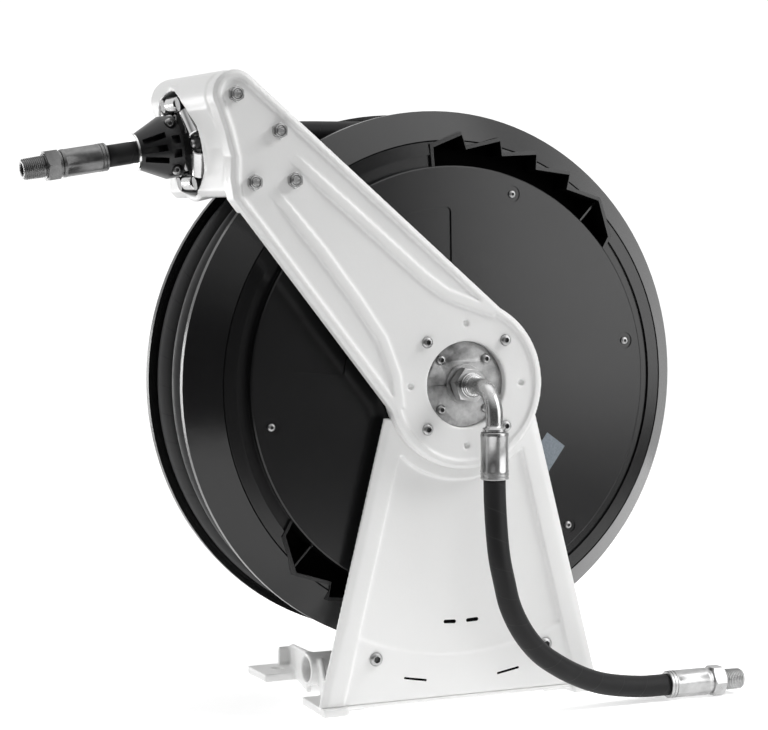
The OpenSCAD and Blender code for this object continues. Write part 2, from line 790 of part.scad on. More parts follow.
module hose_stop_screws() {
    head_z = stop_r - 13;
    color(steel) reel() stop_screw_places() translate([0, 0, head_z])
        socket_screw(2.5, 4.6, 3, 2 * head_z + 4.5);
}

module hose_stop_nuts() {
    head_z = stop_r - 13;
    color(steel) reel() stop_screw_places() translate([0, 0, -head_z - 3.5]) difference() {
        hex(8, 3.5);
        translate([0, 0, -1]) cylinder(r = 2.5 + fit, h = 6, $fn = 24);
    }
}

module hose_stop_washer() {
    color(steel) reel() at_outlet() ring(hose_r + slip, stop_nose_r + 0.7, stop_end, stop_end + washer_t);
}

// Hose on the outside of the drum, through the guide and out to its ferrule. The outer turn
// ends where the lead would meet it.
module hose_lead() {
    first_angle = 122;
    drop = tan(outlet_tilt);
    knee = [outlet_at[0] + (wrap_r - outlet_at[1]) / drop, wrap_r];
    knee_r = 650;
    knee_l = knee_r * tan(outlet_tilt / 2);
    straight_s = (knee[0] - outlet_at[0]) / cos(outlet_tilt) - knee_l;
    color(rubber) reel() {
        rotate(first_angle) rotate_extrude(angle = 450 - first_angle, $fn = 180)
            translate([wrap_r, 0]) circle(r = hose_r, $fn = 32);
        translate([0, wrap_r, 0]) rotate([0, -90, 0])
            cylinder(r = hose_r, h = -knee[0] - knee_l, $fn = 32);
        translate([knee[0] + knee_l, wrap_r - knee_r, 0]) rotate(90)
            rotate_extrude(angle = outlet_tilt, $fn = 360)
                translate([knee_r, 0]) circle(r = hose_r, $fn = 32);
        at_outlet() translate([0, 0, -straight_s])
            cylinder(r = hose_r, h = outlet_ferrule_s + straight_s, $fn = 32);
    }
}

// Crimped ferrule along z with its hose end at z = 0
module ferrule() {
    groove = 0.7;
    land = ferrule_l / 8;
    turned(concat([[0, 0], [ferrule_r - 1, 0], [ferrule_r, 1]],
        [for (i = [1:3]) each [[ferrule_r, i * land - 1], [ferrule_r - groove, i * land - 0.5],
            [ferrule_r - groove, i * land + 0.5], [ferrule_r, i * land + 1]]],
        [[ferrule_r, ferrule_l - 1], [ferrule_r - 1, ferrule_l], [0, ferrule_l]]));
}

// Hexagon and male thread along z
module end_fitting() {
    thread_z = fitting_hex_l + thread_l;
    difference() {
        union() {
            hex(fitting_af, fitting_hex_l);
            cylinder(r = thread_r, h = thread_z - 1);
            translate([0, 0, thread_z - 1]) cylinder(r1 = thread_r, r2 = thread_r - 1, h = 1);
        }
        translate([0, 0, 1]) cylinder(r = fitting_bore_r, h = thread_z);
    }
}

module outlet_ferrule() {
    color(zinc) reel() at_outlet() translate([0, 0, outlet_ferrule_s]) ferrule();
}

module outlet_fitting() {
    color(zinc) reel() at_outlet() translate([0, 0, outlet_ferrule_s + ferrule_l]) end_fitting();
}

// ---------------------------------------------------------------- spindle and inlet

module spindle() {
    port_r = 4;
    color(steel) reel() difference() {
        translate([0, 0, rear_face - 14]) cylinder(r = spindle_r, h = spindle_tip - rear_face + 14);
        translate([0, 0, -port_r]) cylinder(r = water_r, h = spindle_tip + port_r + 1);
        rotate([0, 90, 0]) cylinder(r = port_r, h = spindle_r + 1, $fn = 32);
    }
}

module spindle_flange() {
    color(casting) reel() difference() {
        union() {
            translate([0, 0, ped_face]) cylinder(r = hub_flange_r, h = hub_flange_t);
            translate([0, 0, ped_back + 0.5]) cylinder(r = bush_r + 1.9, h = ped_t);
            translate([0, 0, ped_face]) cylinder(r = 19, h = hub_flange_t + inlet_boss_l);
        }
        translate([0, 0, ped_back]) cylinder(r = spindle_r + 0.02, h = ped_t + 20);
        around(4, 45) translate([hub_screw_r, 0, ped_face - 1])
            cylinder(r = 2.6 + slip, h = hub_flange_t + 2, $fn = 32);
    }
}

module hub_screws() {
    color(steel) reel() around(4, 45) translate([hub_screw_r, 0, ped_face + hub_flange_t])
        socket_screw(2.6, 4.4, 3.2, hub_flange_t + ped_t - 4.5);
}

module spring_arbor() {
    color(steel) reel() ring(spindle_r + 0.02, hub_r, plate_out - 4 + 2 + soft_gap, ped_back);
}

module spindle_washer() {
    color(zinc) reel() ring(spindle_r + fit, 26, rear_face - soft_gap - 2.5, rear_face - soft_gap);
}

module spindle_nut() {
    nut_h = 9;
    color(zinc) reel() translate([0, 0, rear_face - soft_gap - 2.5 - nut_h]) difference() {
        hex(38, nut_h);
        translate([0, 0, -1]) cylinder(r = spindle_r + 0.02, h = nut_h + 2);
    }
}

module inlet_adapter() {
    color(zinc) reel() difference() {
        union() {
            translate([0, 0, spindle_tip]) cylinder(r = adapter_r, h = adapter_l);
            translate([0, 0, spindle_tip - 12]) cylinder(r = water_r - fit, h = 13);
        }
        translate([0, 0, spindle_tip - 13]) cylinder(r = 4, h = adapter_l + 14, $fn = 32);
    }
}

module inlet_nut() {
    corner = nut_af / 2 / cos(30);
    color(zinc) reel() translate([0, 0, nut_out]) rotate(nut_turn) difference() {
        intersection() {
            hex(nut_af, nut_l);
            turned([[0, 0], [nut_af / 2 + 1, 0], [corner, 1.5], [corner, nut_l - 1.5],
                [nut_af / 2, nut_l], [0, nut_l]]);
        }
        translate([0, 0, -1]) cylinder(r = 4, h = nut_l + 2, $fn = 32);
    }
}

module inlet_elbow() {
    bore = 5.5;
    color(zinc) reel() difference() {
        union() {
            translate([0, 0, elbow_out]) cylinder(r = elbow_r + 4, h = nut_nose, $fn = 48);
            translate([0, 0, elbow_out]) cylinder(r = elbow_r, h = elbow_lead, $fn = 48);
            translate([0, -elbow_bend, elbow_out + elbow_lead]) rotate([0, 90, 0]) rotate([0, 0, 90])
                rotate_extrude(angle = 90, $fn = 96) translate([elbow_bend, 0])
                    circle(r = elbow_r, $fn = 48);
            translate([0, -elbow_drop, reel_y - elbow_y]) rotate([-90, 0, 0])
                cylinder(r = elbow_r, h = elbow_drop - elbow_bend, $fn = 48);
            translate([0, -elbow_drop - collar_t, reel_y - elbow_y]) rotate([-90, 0, 0])
                cylinder(r = elbow_r + 3, h = collar_t, $fn = 48);
        }
        translate([0, 0, elbow_out - 1]) cylinder(r = bore, h = elbow_lead, $fn = 32);
    }
}

module elbow_ferrule() {
    color(zinc) translate([0, elbow_y, hose_drop_z]) ferrule();
}

// ---------------------------------------------------------------- free inlet hose

function route_dir(p, i) =
    i == 0 ? [0, 0, -1]
    : i == len(p) - 1 ? [cos(inlet_end_turn), sin(inlet_end_turn), 0]
    : unit(p[i + 1] - p[i - 1]);

function hose_ring(p, i) =
    let (t = route_dir(p, i), side = unit(cross(t, [0, 1, 0])), up = cross(side, t))
    [for (k = [0:hose_sides - 1])
        p[i] + hose_r * (cos(k * 360 / hose_sides) * side + sin(k * 360 / hose_sides) * up)];

module swept_hose(p) {
    n = hose_sides;
    last = len(p) - 1;
    polyhedron(
        points = [for (i = [0:last]) each hose_ring(p, i)],
        faces = concat(
            [[for (k = [n - 1:-1:0]) k]],
            [for (i = [0:last - 1], k = [0:n - 1])
                [i * n + k, i * n + (k + 1) % n, (i + 1) * n + (k + 1) % n, (i + 1) * n + k]],
            [[for (k = [0:n - 1]) last * n + k]]));
}

module inlet_hose() {
    color(rubber) swept_hose(inlet_route);
}

module at_inlet_end() {
    translate(inlet_end) rotate(inlet_end_turn) rotate([0, 90, 0]) children();
}

module inlet_ferrule() {
    color(zinc) at_inlet_end() ferrule();
}

module inlet_fitting() {
    color(zinc) at_inlet_end() translate([0, 0, ferrule_l]) rotate(30) end_fitting();
}

// ---------------------------------------------------------------- pawl

module pawl_place() {
    reel() rotate(pawl_angle) translate([pawl_path_r, 0, 0]) children();
}

module pawl_pin() {
    floor_out = web_out - channel_depth;
    color(steel) pawl_place() translate([0, 0, floor_out + pawl_gap])
        cylinder(r = pawl_pin_r, h = ped_back + 5.5 - floor_out - pawl_gap, $fn = 32);
}

module pawl_spring() {
    wire_r = 0.6;
    coil_r = pawl_pin_r + 1.1;
    gap = ped_back - (web_out - channel_depth + pawl_gap + pawl_t);
    color(steel) pawl_place() translate([0, 0, ped_back - gap]) rotate_extrude($fn = 32)
        translate([coil_r - wire_r, 0.2]) square([2 * wire_r, gap - 0.4]);
}

// The tip points along the channel, towards larger angles
module pawl() {
    z0 = web_out - channel_depth + pawl_gap;
    color(steel) pawl_place() translate([0, 0, z0]) difference() {
        union() {
            cylinder(r = pawl_hub_r, h = pawl_t);
            linear_extrude(pawl_t) polygon([[-3.6, 0], [3.6, 0], [2.6, 8], [0.8, pawl_l],
                [-2.6, pawl_l], [-4, 8]]);
        }
        translate([0, 0, -1]) cylinder(r = pawl_pin_r + fit, h = pawl_t + 2, $fn = 48);
    }
}

// ---------------------------------------------------------------- drum

function tooth_outline(grow, spread) =
    concat(
        [polar(seat_r - 2, pocket_start + spread), polar(tooth_crest_r + 2 + grow,
            pocket_start + spread)],
        [for (k = [0:tooth_n - 1]) each [
            polar(tooth_tip_r + grow, tooth_first - k * tooth_pitch + spread * 0.3),
            polar((k < tooth_n - 1 ? tooth_crest_r : tooth_tip_r - 3) + grow,
                tooth_first - k * tooth_pitch - tooth_fall)]],
        [polar(channel_r + 2 + grow, pocket_end + 1.7 - spread * 0.5),
            polar(seat_r - 2, pocket_end - spread)]);

module ratchet_cup() {
    cup_turn = 0.9;
    translate([0, 0, flange_out - 1]) linear_extrude(web_out + 1 - flange_out + 1)
        polygon(tooth_outline(pocket_wall, cup_turn));
}

module ratchet_pocket() {
    rib_angle = 46.5;
    rib_t = 2;
    rib_drop = 8.5;
    difference() {
        translate([0, 0, flange_out + skin_t]) linear_extrude(cover_out + 5)
            polygon(tooth_outline(0, 0));
        cylinder(r = seat_r, h = cover_face + 10, $fn = 180);
        rotate(rib_angle) translate([seat_r - 2, -rib_t / 2, 0])
            cube([tooth_tip_r - seat_r + 4, rib_t, web_out - rib_drop]);
    }
}

function front_profile() = [
    [plate_in_r, plate_out], [rim_r - lip_t, plate_out],
    [rim_r - lip_t, flange_out - lip_w], [rim_r, flange_out - lip_w], [rim_r, flange_out],
    [dish_r, dish_top], [dish_r - groove_w / 2, dish_top - groove_d],
    [dish_r - groove_w, dish_top + web_crown * groove_w / web_w], [channel_r, web_out],
    [channel_r, web_out - channel_depth], [seat_r, web_out - channel_depth],
    [seat_r, seat_out], [seat_r - skin_t, seat_out],
    [seat_r - skin_t, web_out - channel_depth - skin_t],
    [channel_r + skin_t, web_out - channel_depth - skin_t],
    [channel_r + skin_t, web_out - skin_t],
    [dish_r - skin_t / 2, dish_top - skin_t * 0.9],
    [rim_r - skin_t * 1.4, flange_out], [plate_in_r, flange_out]];

module cover_screw_places(z) {
    around(cover_screws_n, screw_phase) translate([cover_screw_r, 0, z]) children();
}

module tie_places(z) {
    around(tie_n, tie_phase) translate([tie_r, 0, z]) children();
}

module flange_front() {
    boss_r = 7;
    color(plastic) reel() difference() {
        union() {
            turned(front_profile());
            for (a = pocket_sets) rotate(a) ratchet_cup();
            cover_screw_places(plate_out) cylinder(r = boss_r, h = seat_out - plate_out, $fn = 48);
            tie_places(plate_out) cylinder(r = boss_r, h = 14, $fn = 48);
        }
        for (a = pocket_sets) rotate(a) ratchet_pocket();
        cover_screw_places(seat_out - 14) cylinder(r = 2 + fit, h = 15, $fn = 32);
        tie_places(plate_out - 1) cylinder(r = tie_shank_r + slip, h = 11, $fn = 32);
    }
}

module flange_rear() {
    rib_t = 3;
    ring_radii = [100, tie_r - rib_t];
    color(plastic) reel() difference() {
        union() {
            turned([[bush_r + 0.5, -flange_out], [bush_r + 0.5, -plate_out],
                [rim_r - lip_t, -plate_out], [rim_r - lip_t, -flange_out + lip_w],
                [rim_r, -flange_out + lip_w], [rim_r, -flange_out]]);
            ring(bush_r + 0.5, rear_hub_r, rear_face, -plate_out);
            around(rear_ribs_n, 15) translate([rear_hub_r - 1, -rib_t / 2, rear_face])
                cube([rim_r - rear_hub_r - 14, rib_t, rear_rib_h + 1]);
            for (r = ring_radii) ring(r, r + rib_t, rear_face, -plate_out - 1);
            tie_places(-flange_out - 4) cylinder(r = 7.5, h = 5, $fn = 48);
        }
        tie_places(-flange_out - 20) cylinder(r = tie_shank_r + slip, h = 30, $fn = 32);
        tie_places(-flange_out - 24) cylinder(r = 5.2, h = 20, $fn = 32);
    }
}

hub_mid = plate_out / 2;
web_z = plate_out - 10;

module drum_core() {
    web_t = 4;
    color(plastic) reel() difference() {
        union() {
            rotate(70) ring(barrel_in_r, barrel_r, -plate_out, plate_out);
            tie_places(-plate_out) cylinder(r = 8, h = drum_w, $fn = 48);
            for (z = [-web_z - web_t, web_z]) ring(bush_r + 1, barrel_r - 1, z, z + web_t);
            ring(bush_r + 0.02, hub_r, -plate_out, -hub_mid);
            ring(bush_r + 0.02, hub_r, hub_mid, plate_out - 4);
            rotate(60) translate([spring_r + 4.4, 0, web_z + 1])
                cylinder(r = 4, h = 39, $fn = 32);
        }
        tie_places(-plate_out - 1) cylinder(r = tie_shank_r + slip, h = drum_w + 2, $fn = 32);
        rotate([0, 90, 0]) cylinder(r = 8, h = barrel_r + 1, $fn = 48);
    }
}

module drum_cover() {
    hole_r = hub_r + 3;
    edge = 1.2;
    label_recess = [58, 44, 0.6];
    label_r = cover_r - 60.8;
    color(plastic) reel() difference() {
        turned([[hole_r, seat_out], [cover_r, seat_out], [cover_r, cover_face - edge],
            [cover_r - edge, cover_face], [hole_r, cover_face]]);
        cover_screw_places(cover_face - 1) cylinder(r = 8, h = 2, $fn = 48);
        cover_screw_places(seat_out - 1) cylinder(r = 2 + slip, h = cover_t + 2, $fn = 32);
        for (a = [101.5, 161.5]) rotate(a - 90)
            translate([-label_recess[0] / 2, label_r - label_recess[1] / 2,
                cover_face - label_recess[2]]) cube([label_recess[0], label_recess[1], 2]);
    }
}

module cover_screws() {
    color(steel) reel() cover_screw_places(cover_face - 1)
        socket_screw(2, cover_head_r, 2.8, cover_t + 10);
}

module cover_label() {
    color(blank) reel() rotate(-36.5) translate([112, -16, cover_face]) cube([24, 34, 0.3]);
}

module tie_screws() {
    color(steel) reel() tie_places(-flange_out - 4) rotate([180, 0, 0])
        socket_screw(tie_shank_r, 4.6, 3.5, drum_w + flange_t + 4 + 8);
}

// Turns of hose left on the drum under the outer turn
module hose_pack() {
    far_turn_y = -plate_out + hose_r + soft_gap;
    far_turn_r = wrap_r + 1.3;
    color(rubber) reel() {
        for (i = [1:inner_layers], k = [1:inner_turns[i - 1]])
            rotate_extrude($fn = 120)
                translate([wrap_r - i * layer_step,
                    (k - (inner_turns[i - 1] + 1) / 2) * turn_pitch])
                    circle(r = hose_r, $fn = 32);
        rotate_extrude($fn = 120) translate([far_turn_r, far_turn_y]) circle(r = hose_r, $fn = 32);
    }
}

// Flat strip wound round the arbor
function coil_point(r0, r1, turns, t) = polar(r0 + (r1 - r0) * t, 60 + 360 * turns * (t - 1));

module power_spring() {
    turns = 6;
    steps = turns * 20;
    strip_t = 1.6;
    r0 = hub_r + soft_gap;
    color(steel) reel() translate([0, 0, web_z + 4 + soft_gap])
        linear_extrude(seat_out - web_z - 8) polygon(concat(
            [for (i = [0:steps]) coil_point(r0, spring_r - strip_t, turns, i / steps)],
            [for (i = [steps:-1:0]) coil_point(r0 + strip_t, spring_r, turns, i / steps)]));
}

module bush_front() {
    color(casting) reel() {
        ring(spindle_r + fit, bush_r, hub_mid, plate_out - 4);
        ring(spindle_r + fit, bush_r + 4, plate_out - 4, plate_out - 2);
    }
}

module bush_rear() {
    color(casting) reel() ring(spindle_r + fit, bush_r, -plate_out, -hub_mid);
}

module swivel_housing() {
    housing_r = 28;
    color(zinc) reel() difference() {
        translate([0, 0, -hub_mid + soft_gap]) cylinder(r = housing_r, h = 2 * hub_mid - soft_gap);
        translate([0, 0, -hub_mid - 1]) cylinder(r = spindle_r + fit, h = 2 * hub_mid + 2);
        rotate([0, 90, 0]) cylinder(r = 5, h = housing_r + 1, $fn = 32);
    }
}

module swivel_pipe() {
    pipe_r = 7;
    color(zinc) reel() translate([28.3, 0, 0]) rotate([0, 90, 0]) difference() {
        cylinder(r = pipe_r, h = barrel_r - 29.5, $fn = 48);
        translate([0, 0, -1]) cylinder(r = 5, h = barrel_r, $fn = 32);
    }
}

module rear_cap() {
    cap_l = 24;
    wall = 2.5;
    color(plastic) reel() difference() {
        translate([0, 0, rear_face - cap_l + 3]) cylinder(r = rear_hub_r + wall, h = cap_l);
        translate([0, 0, rear_face - cap_l + 3 + wall]) cylinder(r = rear_hub_r + fit, h = cap_l);
        around(rear_ribs_n, 15) translate([rear_hub_r - 3, -1.8, rear_face - 0.3])
            cube([20, 3.6, 10]);
    }
}

// ---------------------------------------------------------------- assembly

base();
pedestal();
pedestal_screws();
arm();
arm_screws();
guide_head();
head_bolts();
head_nuts();
spindle();
spindle_flange();
hub_screws();
spring_arbor();
spindle_washer();
spindle_nut();
inlet_adapter();
inlet_nut();
inlet_elbow();
elbow_ferrule();
inlet_hose();
inlet_ferrule();
inlet_fitting();
guide_frame();
guide_pins();
guide_screws();
hose_stop_front();
hose_stop_rear();
hose_stop_screws();
hose_stop_nuts();
hose_stop_washer();
hose_lead();
outlet_ferrule();
outlet_fitting();
pawl_pin();
pawl_spring();
pawl();
flange_front();
flange_rear();
drum_core();
drum_cover();
cover_screws();
cover_label();
tie_screws();
hose_pack();
power_spring();
bush_front();
bush_rear();
swivel_housing();
swivel_pipe();
rear_cap();
roller(0);  // roller_top
roller(1);  // roller_front_upper
roller(2);  // roller_front_lower
roller(3);  // roller_bottom
roller(4);  // roller_rear_lower
roller(5);  // roller_rear_upper
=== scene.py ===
import json
import math

import bmesh
import bpy
from mathutils import Matrix, Vector

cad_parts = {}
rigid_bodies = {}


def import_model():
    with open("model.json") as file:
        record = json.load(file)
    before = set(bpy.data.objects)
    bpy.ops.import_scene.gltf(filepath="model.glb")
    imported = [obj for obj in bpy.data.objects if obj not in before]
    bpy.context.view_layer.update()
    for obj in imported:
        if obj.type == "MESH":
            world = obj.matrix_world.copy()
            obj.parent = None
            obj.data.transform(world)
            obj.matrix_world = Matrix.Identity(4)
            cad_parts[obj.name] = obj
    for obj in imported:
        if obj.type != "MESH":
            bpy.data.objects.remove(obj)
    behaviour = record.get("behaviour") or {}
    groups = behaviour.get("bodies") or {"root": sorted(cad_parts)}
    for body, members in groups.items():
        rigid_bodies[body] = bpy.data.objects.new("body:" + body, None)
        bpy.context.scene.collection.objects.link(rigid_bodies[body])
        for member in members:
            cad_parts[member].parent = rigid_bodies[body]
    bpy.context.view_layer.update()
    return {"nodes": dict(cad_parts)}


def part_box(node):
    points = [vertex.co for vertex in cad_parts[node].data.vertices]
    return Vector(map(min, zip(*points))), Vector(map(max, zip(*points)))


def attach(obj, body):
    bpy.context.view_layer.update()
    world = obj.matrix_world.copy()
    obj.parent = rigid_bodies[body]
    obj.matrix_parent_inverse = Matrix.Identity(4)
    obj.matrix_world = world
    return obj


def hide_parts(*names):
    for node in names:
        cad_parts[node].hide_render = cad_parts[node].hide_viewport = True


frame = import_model()
nodes = frame["nodes"]

# ---------------------------------------------------------------- camera and studio
# A long lens stands to the left of the reel and just above its axis. The studio is a pale
# sweep of floor under a soft key from the upper right, with weaker lights from the left, the
# front and above, and a softbox and a rim gleam that only glossy pieces show.

camera_data = bpy.data.cameras.new("camera")
camera_data.sensor_width = 36.0
camera_data.lens = 108.19
camera_data.clip_start = 0.05
camera_data.clip_end = 60.0
camera = bpy.data.objects.new("camera", camera_data)
bpy.context.scene.collection.objects.link(camera)
yaw, pitch, roll = math.radians(23.946), math.radians(3.798), math.radians(-0.379)
back = Vector((-math.sin(yaw) * math.cos(pitch), -math.cos(yaw) * math.cos(pitch),
               math.sin(pitch)))
level = Vector((math.cos(yaw), -math.sin(yaw), 0.0))
across = math.cos(roll) * level + math.sin(roll) * level.cross(-back)
upward = math.cos(roll) * level.cross(-back) - math.sin(roll) * level
camera.matrix_world = Matrix.Translation((-0.954, -2.0876, 0.4704)) @ Matrix(
    (across, upward, back)).transposed().to_4x4()
bpy.context.scene.camera = camera
bpy.context.scene.view_settings.view_transform = "Standard"

studio = bpy.data.worlds.new("studio")
bpy.context.scene.world = studio
studio.use_nodes = True
studio.cycles.sampling_method = "NONE"
sky = studio.node_tree
sky.nodes["Background"].inputs["Color"].default_value = (1.0, 1.0, 1.0, 1.0)


def sky_step(kind, **settings):
    step = sky.nodes.new(kind)
    for label, value in settings.items():
        if isinstance(value, bpy.types.NodeSocket):
            sky.links.new(value, step.inputs[label.replace("_", " ")])
        else:
            step.inputs[label.replace("_", " ")].default_value = value
    return step


# Gloss sees a dark room in front, a white wall behind and a white ceiling
way = sky.nodes.new("ShaderNodeTexCoord")
ways = sky.nodes.new("ShaderNodeSeparateXYZ")
sky.links.new(way.outputs["Generated"], ways.inputs["Vector"])
wall = sky_step("ShaderNodeMapRange", Value=ways.outputs["Y"], From_Min=-0.15, From_Max=0.4,
                To_Max=0.9)
ceiling = sky_step("ShaderNodeMapRange", Value=ways.outputs["Z"], From_Min=0.3, From_Max=0.85)
brighter = sky.nodes.new("ShaderNodeMath")
brighter.operation = "MAXIMUM"
sky.links.new(wall.outputs["Result"], brighter.inputs[0])
sky.links.new(ceiling.outputs["Result"], brighter.inputs[1])
gloss = sky_step("ShaderNodeMapRange", Value=brighter.outputs["Value"], To_Min=0.07, To_Max=1.0)
seen = sky.nodes.new("ShaderNodeLightPath")
room = sky.nodes.new("ShaderNodeMix")
room.inputs["A"].default_value = 0.19
sky.links.new(seen.outputs["Is Glossy Ray"], room.inputs["Factor"])
sky.links.new(gloss.outputs["Result"], room.inputs["B"])
view_of = sky.nodes.new("ShaderNodeMix")
view_of.inputs["B"].default_value = 1.1
sky.links.new(seen.outputs["Is Camera Ray"], view_of.inputs["Factor"])
sky.links.new(room.outputs["Result"], view_of.inputs["A"])
sky.links.new(view_of.outputs["Result"], sky.nodes["Background"].inputs["Strength"])


def soft_light(name, place, target, width, height, watts, glossy=True, diffuse=True):
    lamp = bpy.data.lights.new(name, "AREA")
    lamp.shape = "RECTANGLE"
    lamp.size = width
    lamp.size_y = height
    lamp.energy = watts
    stand = bpy.data.objects.new(name, lamp)
    bpy.context.scene.collection.objects.link(stand)
    aim = (Vector(target) - Vector(place)).to_track_quat("-Z", "Y")
    stand.matrix_world = Matrix.Translation(place) @ aim.to_matrix().to_4x4()
    stand.visible_glossy = glossy
    stand.visible_diffuse = diffuse
    stand.visible_camera = False


soft_light("key_light", (1.9, -0.75, 1.9), (0.0, 0.0, 0.3), 1.0, 1.0, 54.0, glossy=False)
soft_light("left_light", (-2.4, 0.8, 1.5), (0.0, 0.0, 0.4), 1.2, 1.2, 36.0, glossy=False)
soft_light("top_light", (0.2, 0.2, 2.4), (0.0, 0.0, 0.3), 2.0, 1.6, 7.0)
soft_light("front_fill", (-0.6, -3.0, 1.7), (0.0, 0.0, 0.4), 2.0, 1.6, 17.0, glossy=False)
soft_light("right_softbox", (0.85, -0.98, 0.86), (0.1, -0.1, 0.42), 0.9, 1.6, 12.0, diffuse=False)
soft_light("rim_gleam", (-1.08, 1.72, 0.05), (-0.2, -0.1, 0.2), 0.35, 1.0, 9.0, diffuse=False)


def deselect():
    bpy.ops.object.select_all(action="DESELECT")


def only(piece):
    deselect()
    piece.select_set(True)
    bpy.context.view_layer.objects.active = piece


def new_material(name):
    finish = bpy.data.materials.new(name)
    finish.use_nodes = True
    return finish, finish.node_tree, finish.node_tree.nodes["Principled BSDF"]


deselect()
bpy.ops.mesh.primitive_circle_add(vertices=96, radius=1.1, fill_type="NGON",
                                  location=(0.0, 0.1, -0.0002))
floor = bpy.context.active_object
floor.name = "floor"
sweep, tree, shader = new_material("floor_sweep")
shader.inputs["Roughness"].default_value = 0.9
shader.inputs["Specular IOR Level"].default_value = 0.1
grain = tree.nodes.new("ShaderNodeTexNoise")
grain.inputs["Scale"].default_value = 3.0
tones = tree.nodes.new("ShaderNodeMapRange")
tones.inputs["To Min"].default_value = 0.90
tones.inputs["To Max"].default_value = 0.92
shader.inputs["Emission Color"].default_value = (1.0, 1.0, 1.0, 1.0)
shader.inputs["Emission Strength"].default_value = 0.55
tree.links.new(grain.outputs["Fac"], tones.inputs["Value"])
tree.links.new(tones.outputs["Result"], shader.inputs["Base Color"])
floor.data.materials.append(sweep)

# ---------------------------------------------------------------- painted castings
# Base, upright, arm and guide head are sand castings under a thick white powder coat. The
# coat rounds every edge, so each casting is skinned again over its solid and smoothed.


def effect(name, inputs, outputs):
    group = bpy.data.node_groups.new(name, "ShaderNodeTree")
    for label, kind, value in inputs:
        socket = group.interface.new_socket(label, in_out="INPUT", socket_type=kind)
        socket.default_value = value
    for label, kind in outputs:
        group.interface.new_socket(label, in_out="OUTPUT", socket_type=kind)
    return group, group.nodes.new("NodeGroupInput"), group.nodes.new("NodeGroupOutput")


def add_noise(tree, source, scale, detail=3.0, roughness=0.55):
    noise = tree.nodes.new("ShaderNodeTexNoise")
    noise.inputs["Scale"].default_value = scale
    noise.inputs["Detail"].default_value = detail
    noise.inputs["Roughness"].default_value = roughness
    tree.links.new(source, noise.inputs["Vector"])
    return noise.outputs["Fac"]


def add_range(tree, source, low, high, from_low=0.0, from_high=1.0):
    spread = tree.nodes.new("ShaderNodeMapRange")
    spread.inputs["From Min"].default_value = from_low
    spread.inputs["From Max"].default_value = from_high
    spread.inputs["To Min"].default_value = low
    spread.inputs["To Max"].default_value = high
    tree.links.new(source, spread.inputs["Value"])
    return spread.outputs["Result"]


def add_math(tree, operation, first, second=None):
    step = tree.nodes.new("ShaderNodeMath")
    step.operation = operation
    for value, socket in ((first, step.inputs[0]), (second, step.inputs[1])):
        if isinstance(value, (int, float)):
            socket.default_value = value
        elif value is not None:
            tree.links.new(value, socket)
    return step.outputs["Value"]


def add_bump(tree, shader, height, strength, distance):
    bump = tree.nodes.new("ShaderNodeBump")
    bump.inputs["Strength"].default_value = strength
    bump.inputs["Distance"].default_value = distance
    tree.links.new(height, bump.inputs["Height"])
    tree.links.new(bump.outputs["Normal"], shader.inputs["Normal"])


# Orange peel and faint unevenness of sprayed powder
skin, given, out = effect("coat_skin", [("Peel Scale", "NodeSocketFloat", 260.0)],
                          [("Height", "NodeSocketFloat"), ("Tone", "NodeSocketFloat")])
place = skin.nodes.new("ShaderNodeTexCoord")
peel = skin.nodes.new("ShaderNodeTexNoise")
peel.inputs["Detail"].default_value = 2.0
skin.links.new(place.outputs["Object"], peel.inputs["Vector"])
skin.links.new(given.outputs["Peel Scale"], peel.inputs["Scale"])
skin.links.new(peel.outputs["Fac"], out.inputs["Height"])
skin.links.new(add_noise(skin, place.outputs["Object"], 14.0, 4.0), out.inputs["Tone"])


def place_effect(tree, group, **values):
    box = tree.nodes.new("ShaderNodeGroup")
    box.node_tree = group
    for label, value in values.items():
        box.inputs[label.replace("_", " ")].default_value = value
    return box


white_coat, tree, shader = new_material("white_coat")
coat = place_effect(tree, skin, Peel_Scale=420.0)
shade = tree.nodes.new("ShaderNodeMix")
shade.data_type = "RGBA"
shade.inputs["A"].default_value = (0.78, 0.78, 0.775, 1.0)
shade.inputs["B"].default_value = (0.81, 0.81, 0.805, 1.0)
tree.links.new(coat.outputs["Tone"], shade.inputs["Factor"])
tree.links.new(shade.outputs["Result"], shader.inputs["Base Color"])
tree.links.new(add_range(tree, coat.outputs["Tone"], 0.30, 0.40), shader.inputs["Roughness"])
add_bump(tree, shader, coat.outputs["Height"], 0.12, 0.0004)


same_point = 0.00001


def soft_casting(node, voxel, passes, body, fill=()):
    piece = bpy.data.objects.new(node + "_casting", nodes[node].data.copy())
    bpy.context.scene.collection.objects.link(piece)
    only(piece)
    for block in fill:
        block.select_set(True)
    if fill:
        bpy.ops.object.join()
    bpy.ops.object.mode_set(mode="EDIT")
    bpy.ops.mesh.select_all(action="SELECT")
    bpy.ops.mesh.remove_doubles(threshold=same_point)
    bpy.ops.object.mode_set(mode="OBJECT")
    skin_over = piece.modifiers.new("skin", "REMESH")
    skin_over.mode = "VOXEL"
    skin_over.voxel_size = voxel
    bpy.ops.object.modifier_apply(modifier="skin")
    melt = piece.modifiers.new("melt", "SMOOTH")
    melt.factor = 0.5
    melt.iterations = passes
    bpy.ops.object.modifier_apply(modifier="melt")
    bpy.ops.object.shade_smooth()
    piece.data.materials.clear()
    piece.data.materials.append(white_coat)
    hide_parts(node)
    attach(piece, body)
    return piece


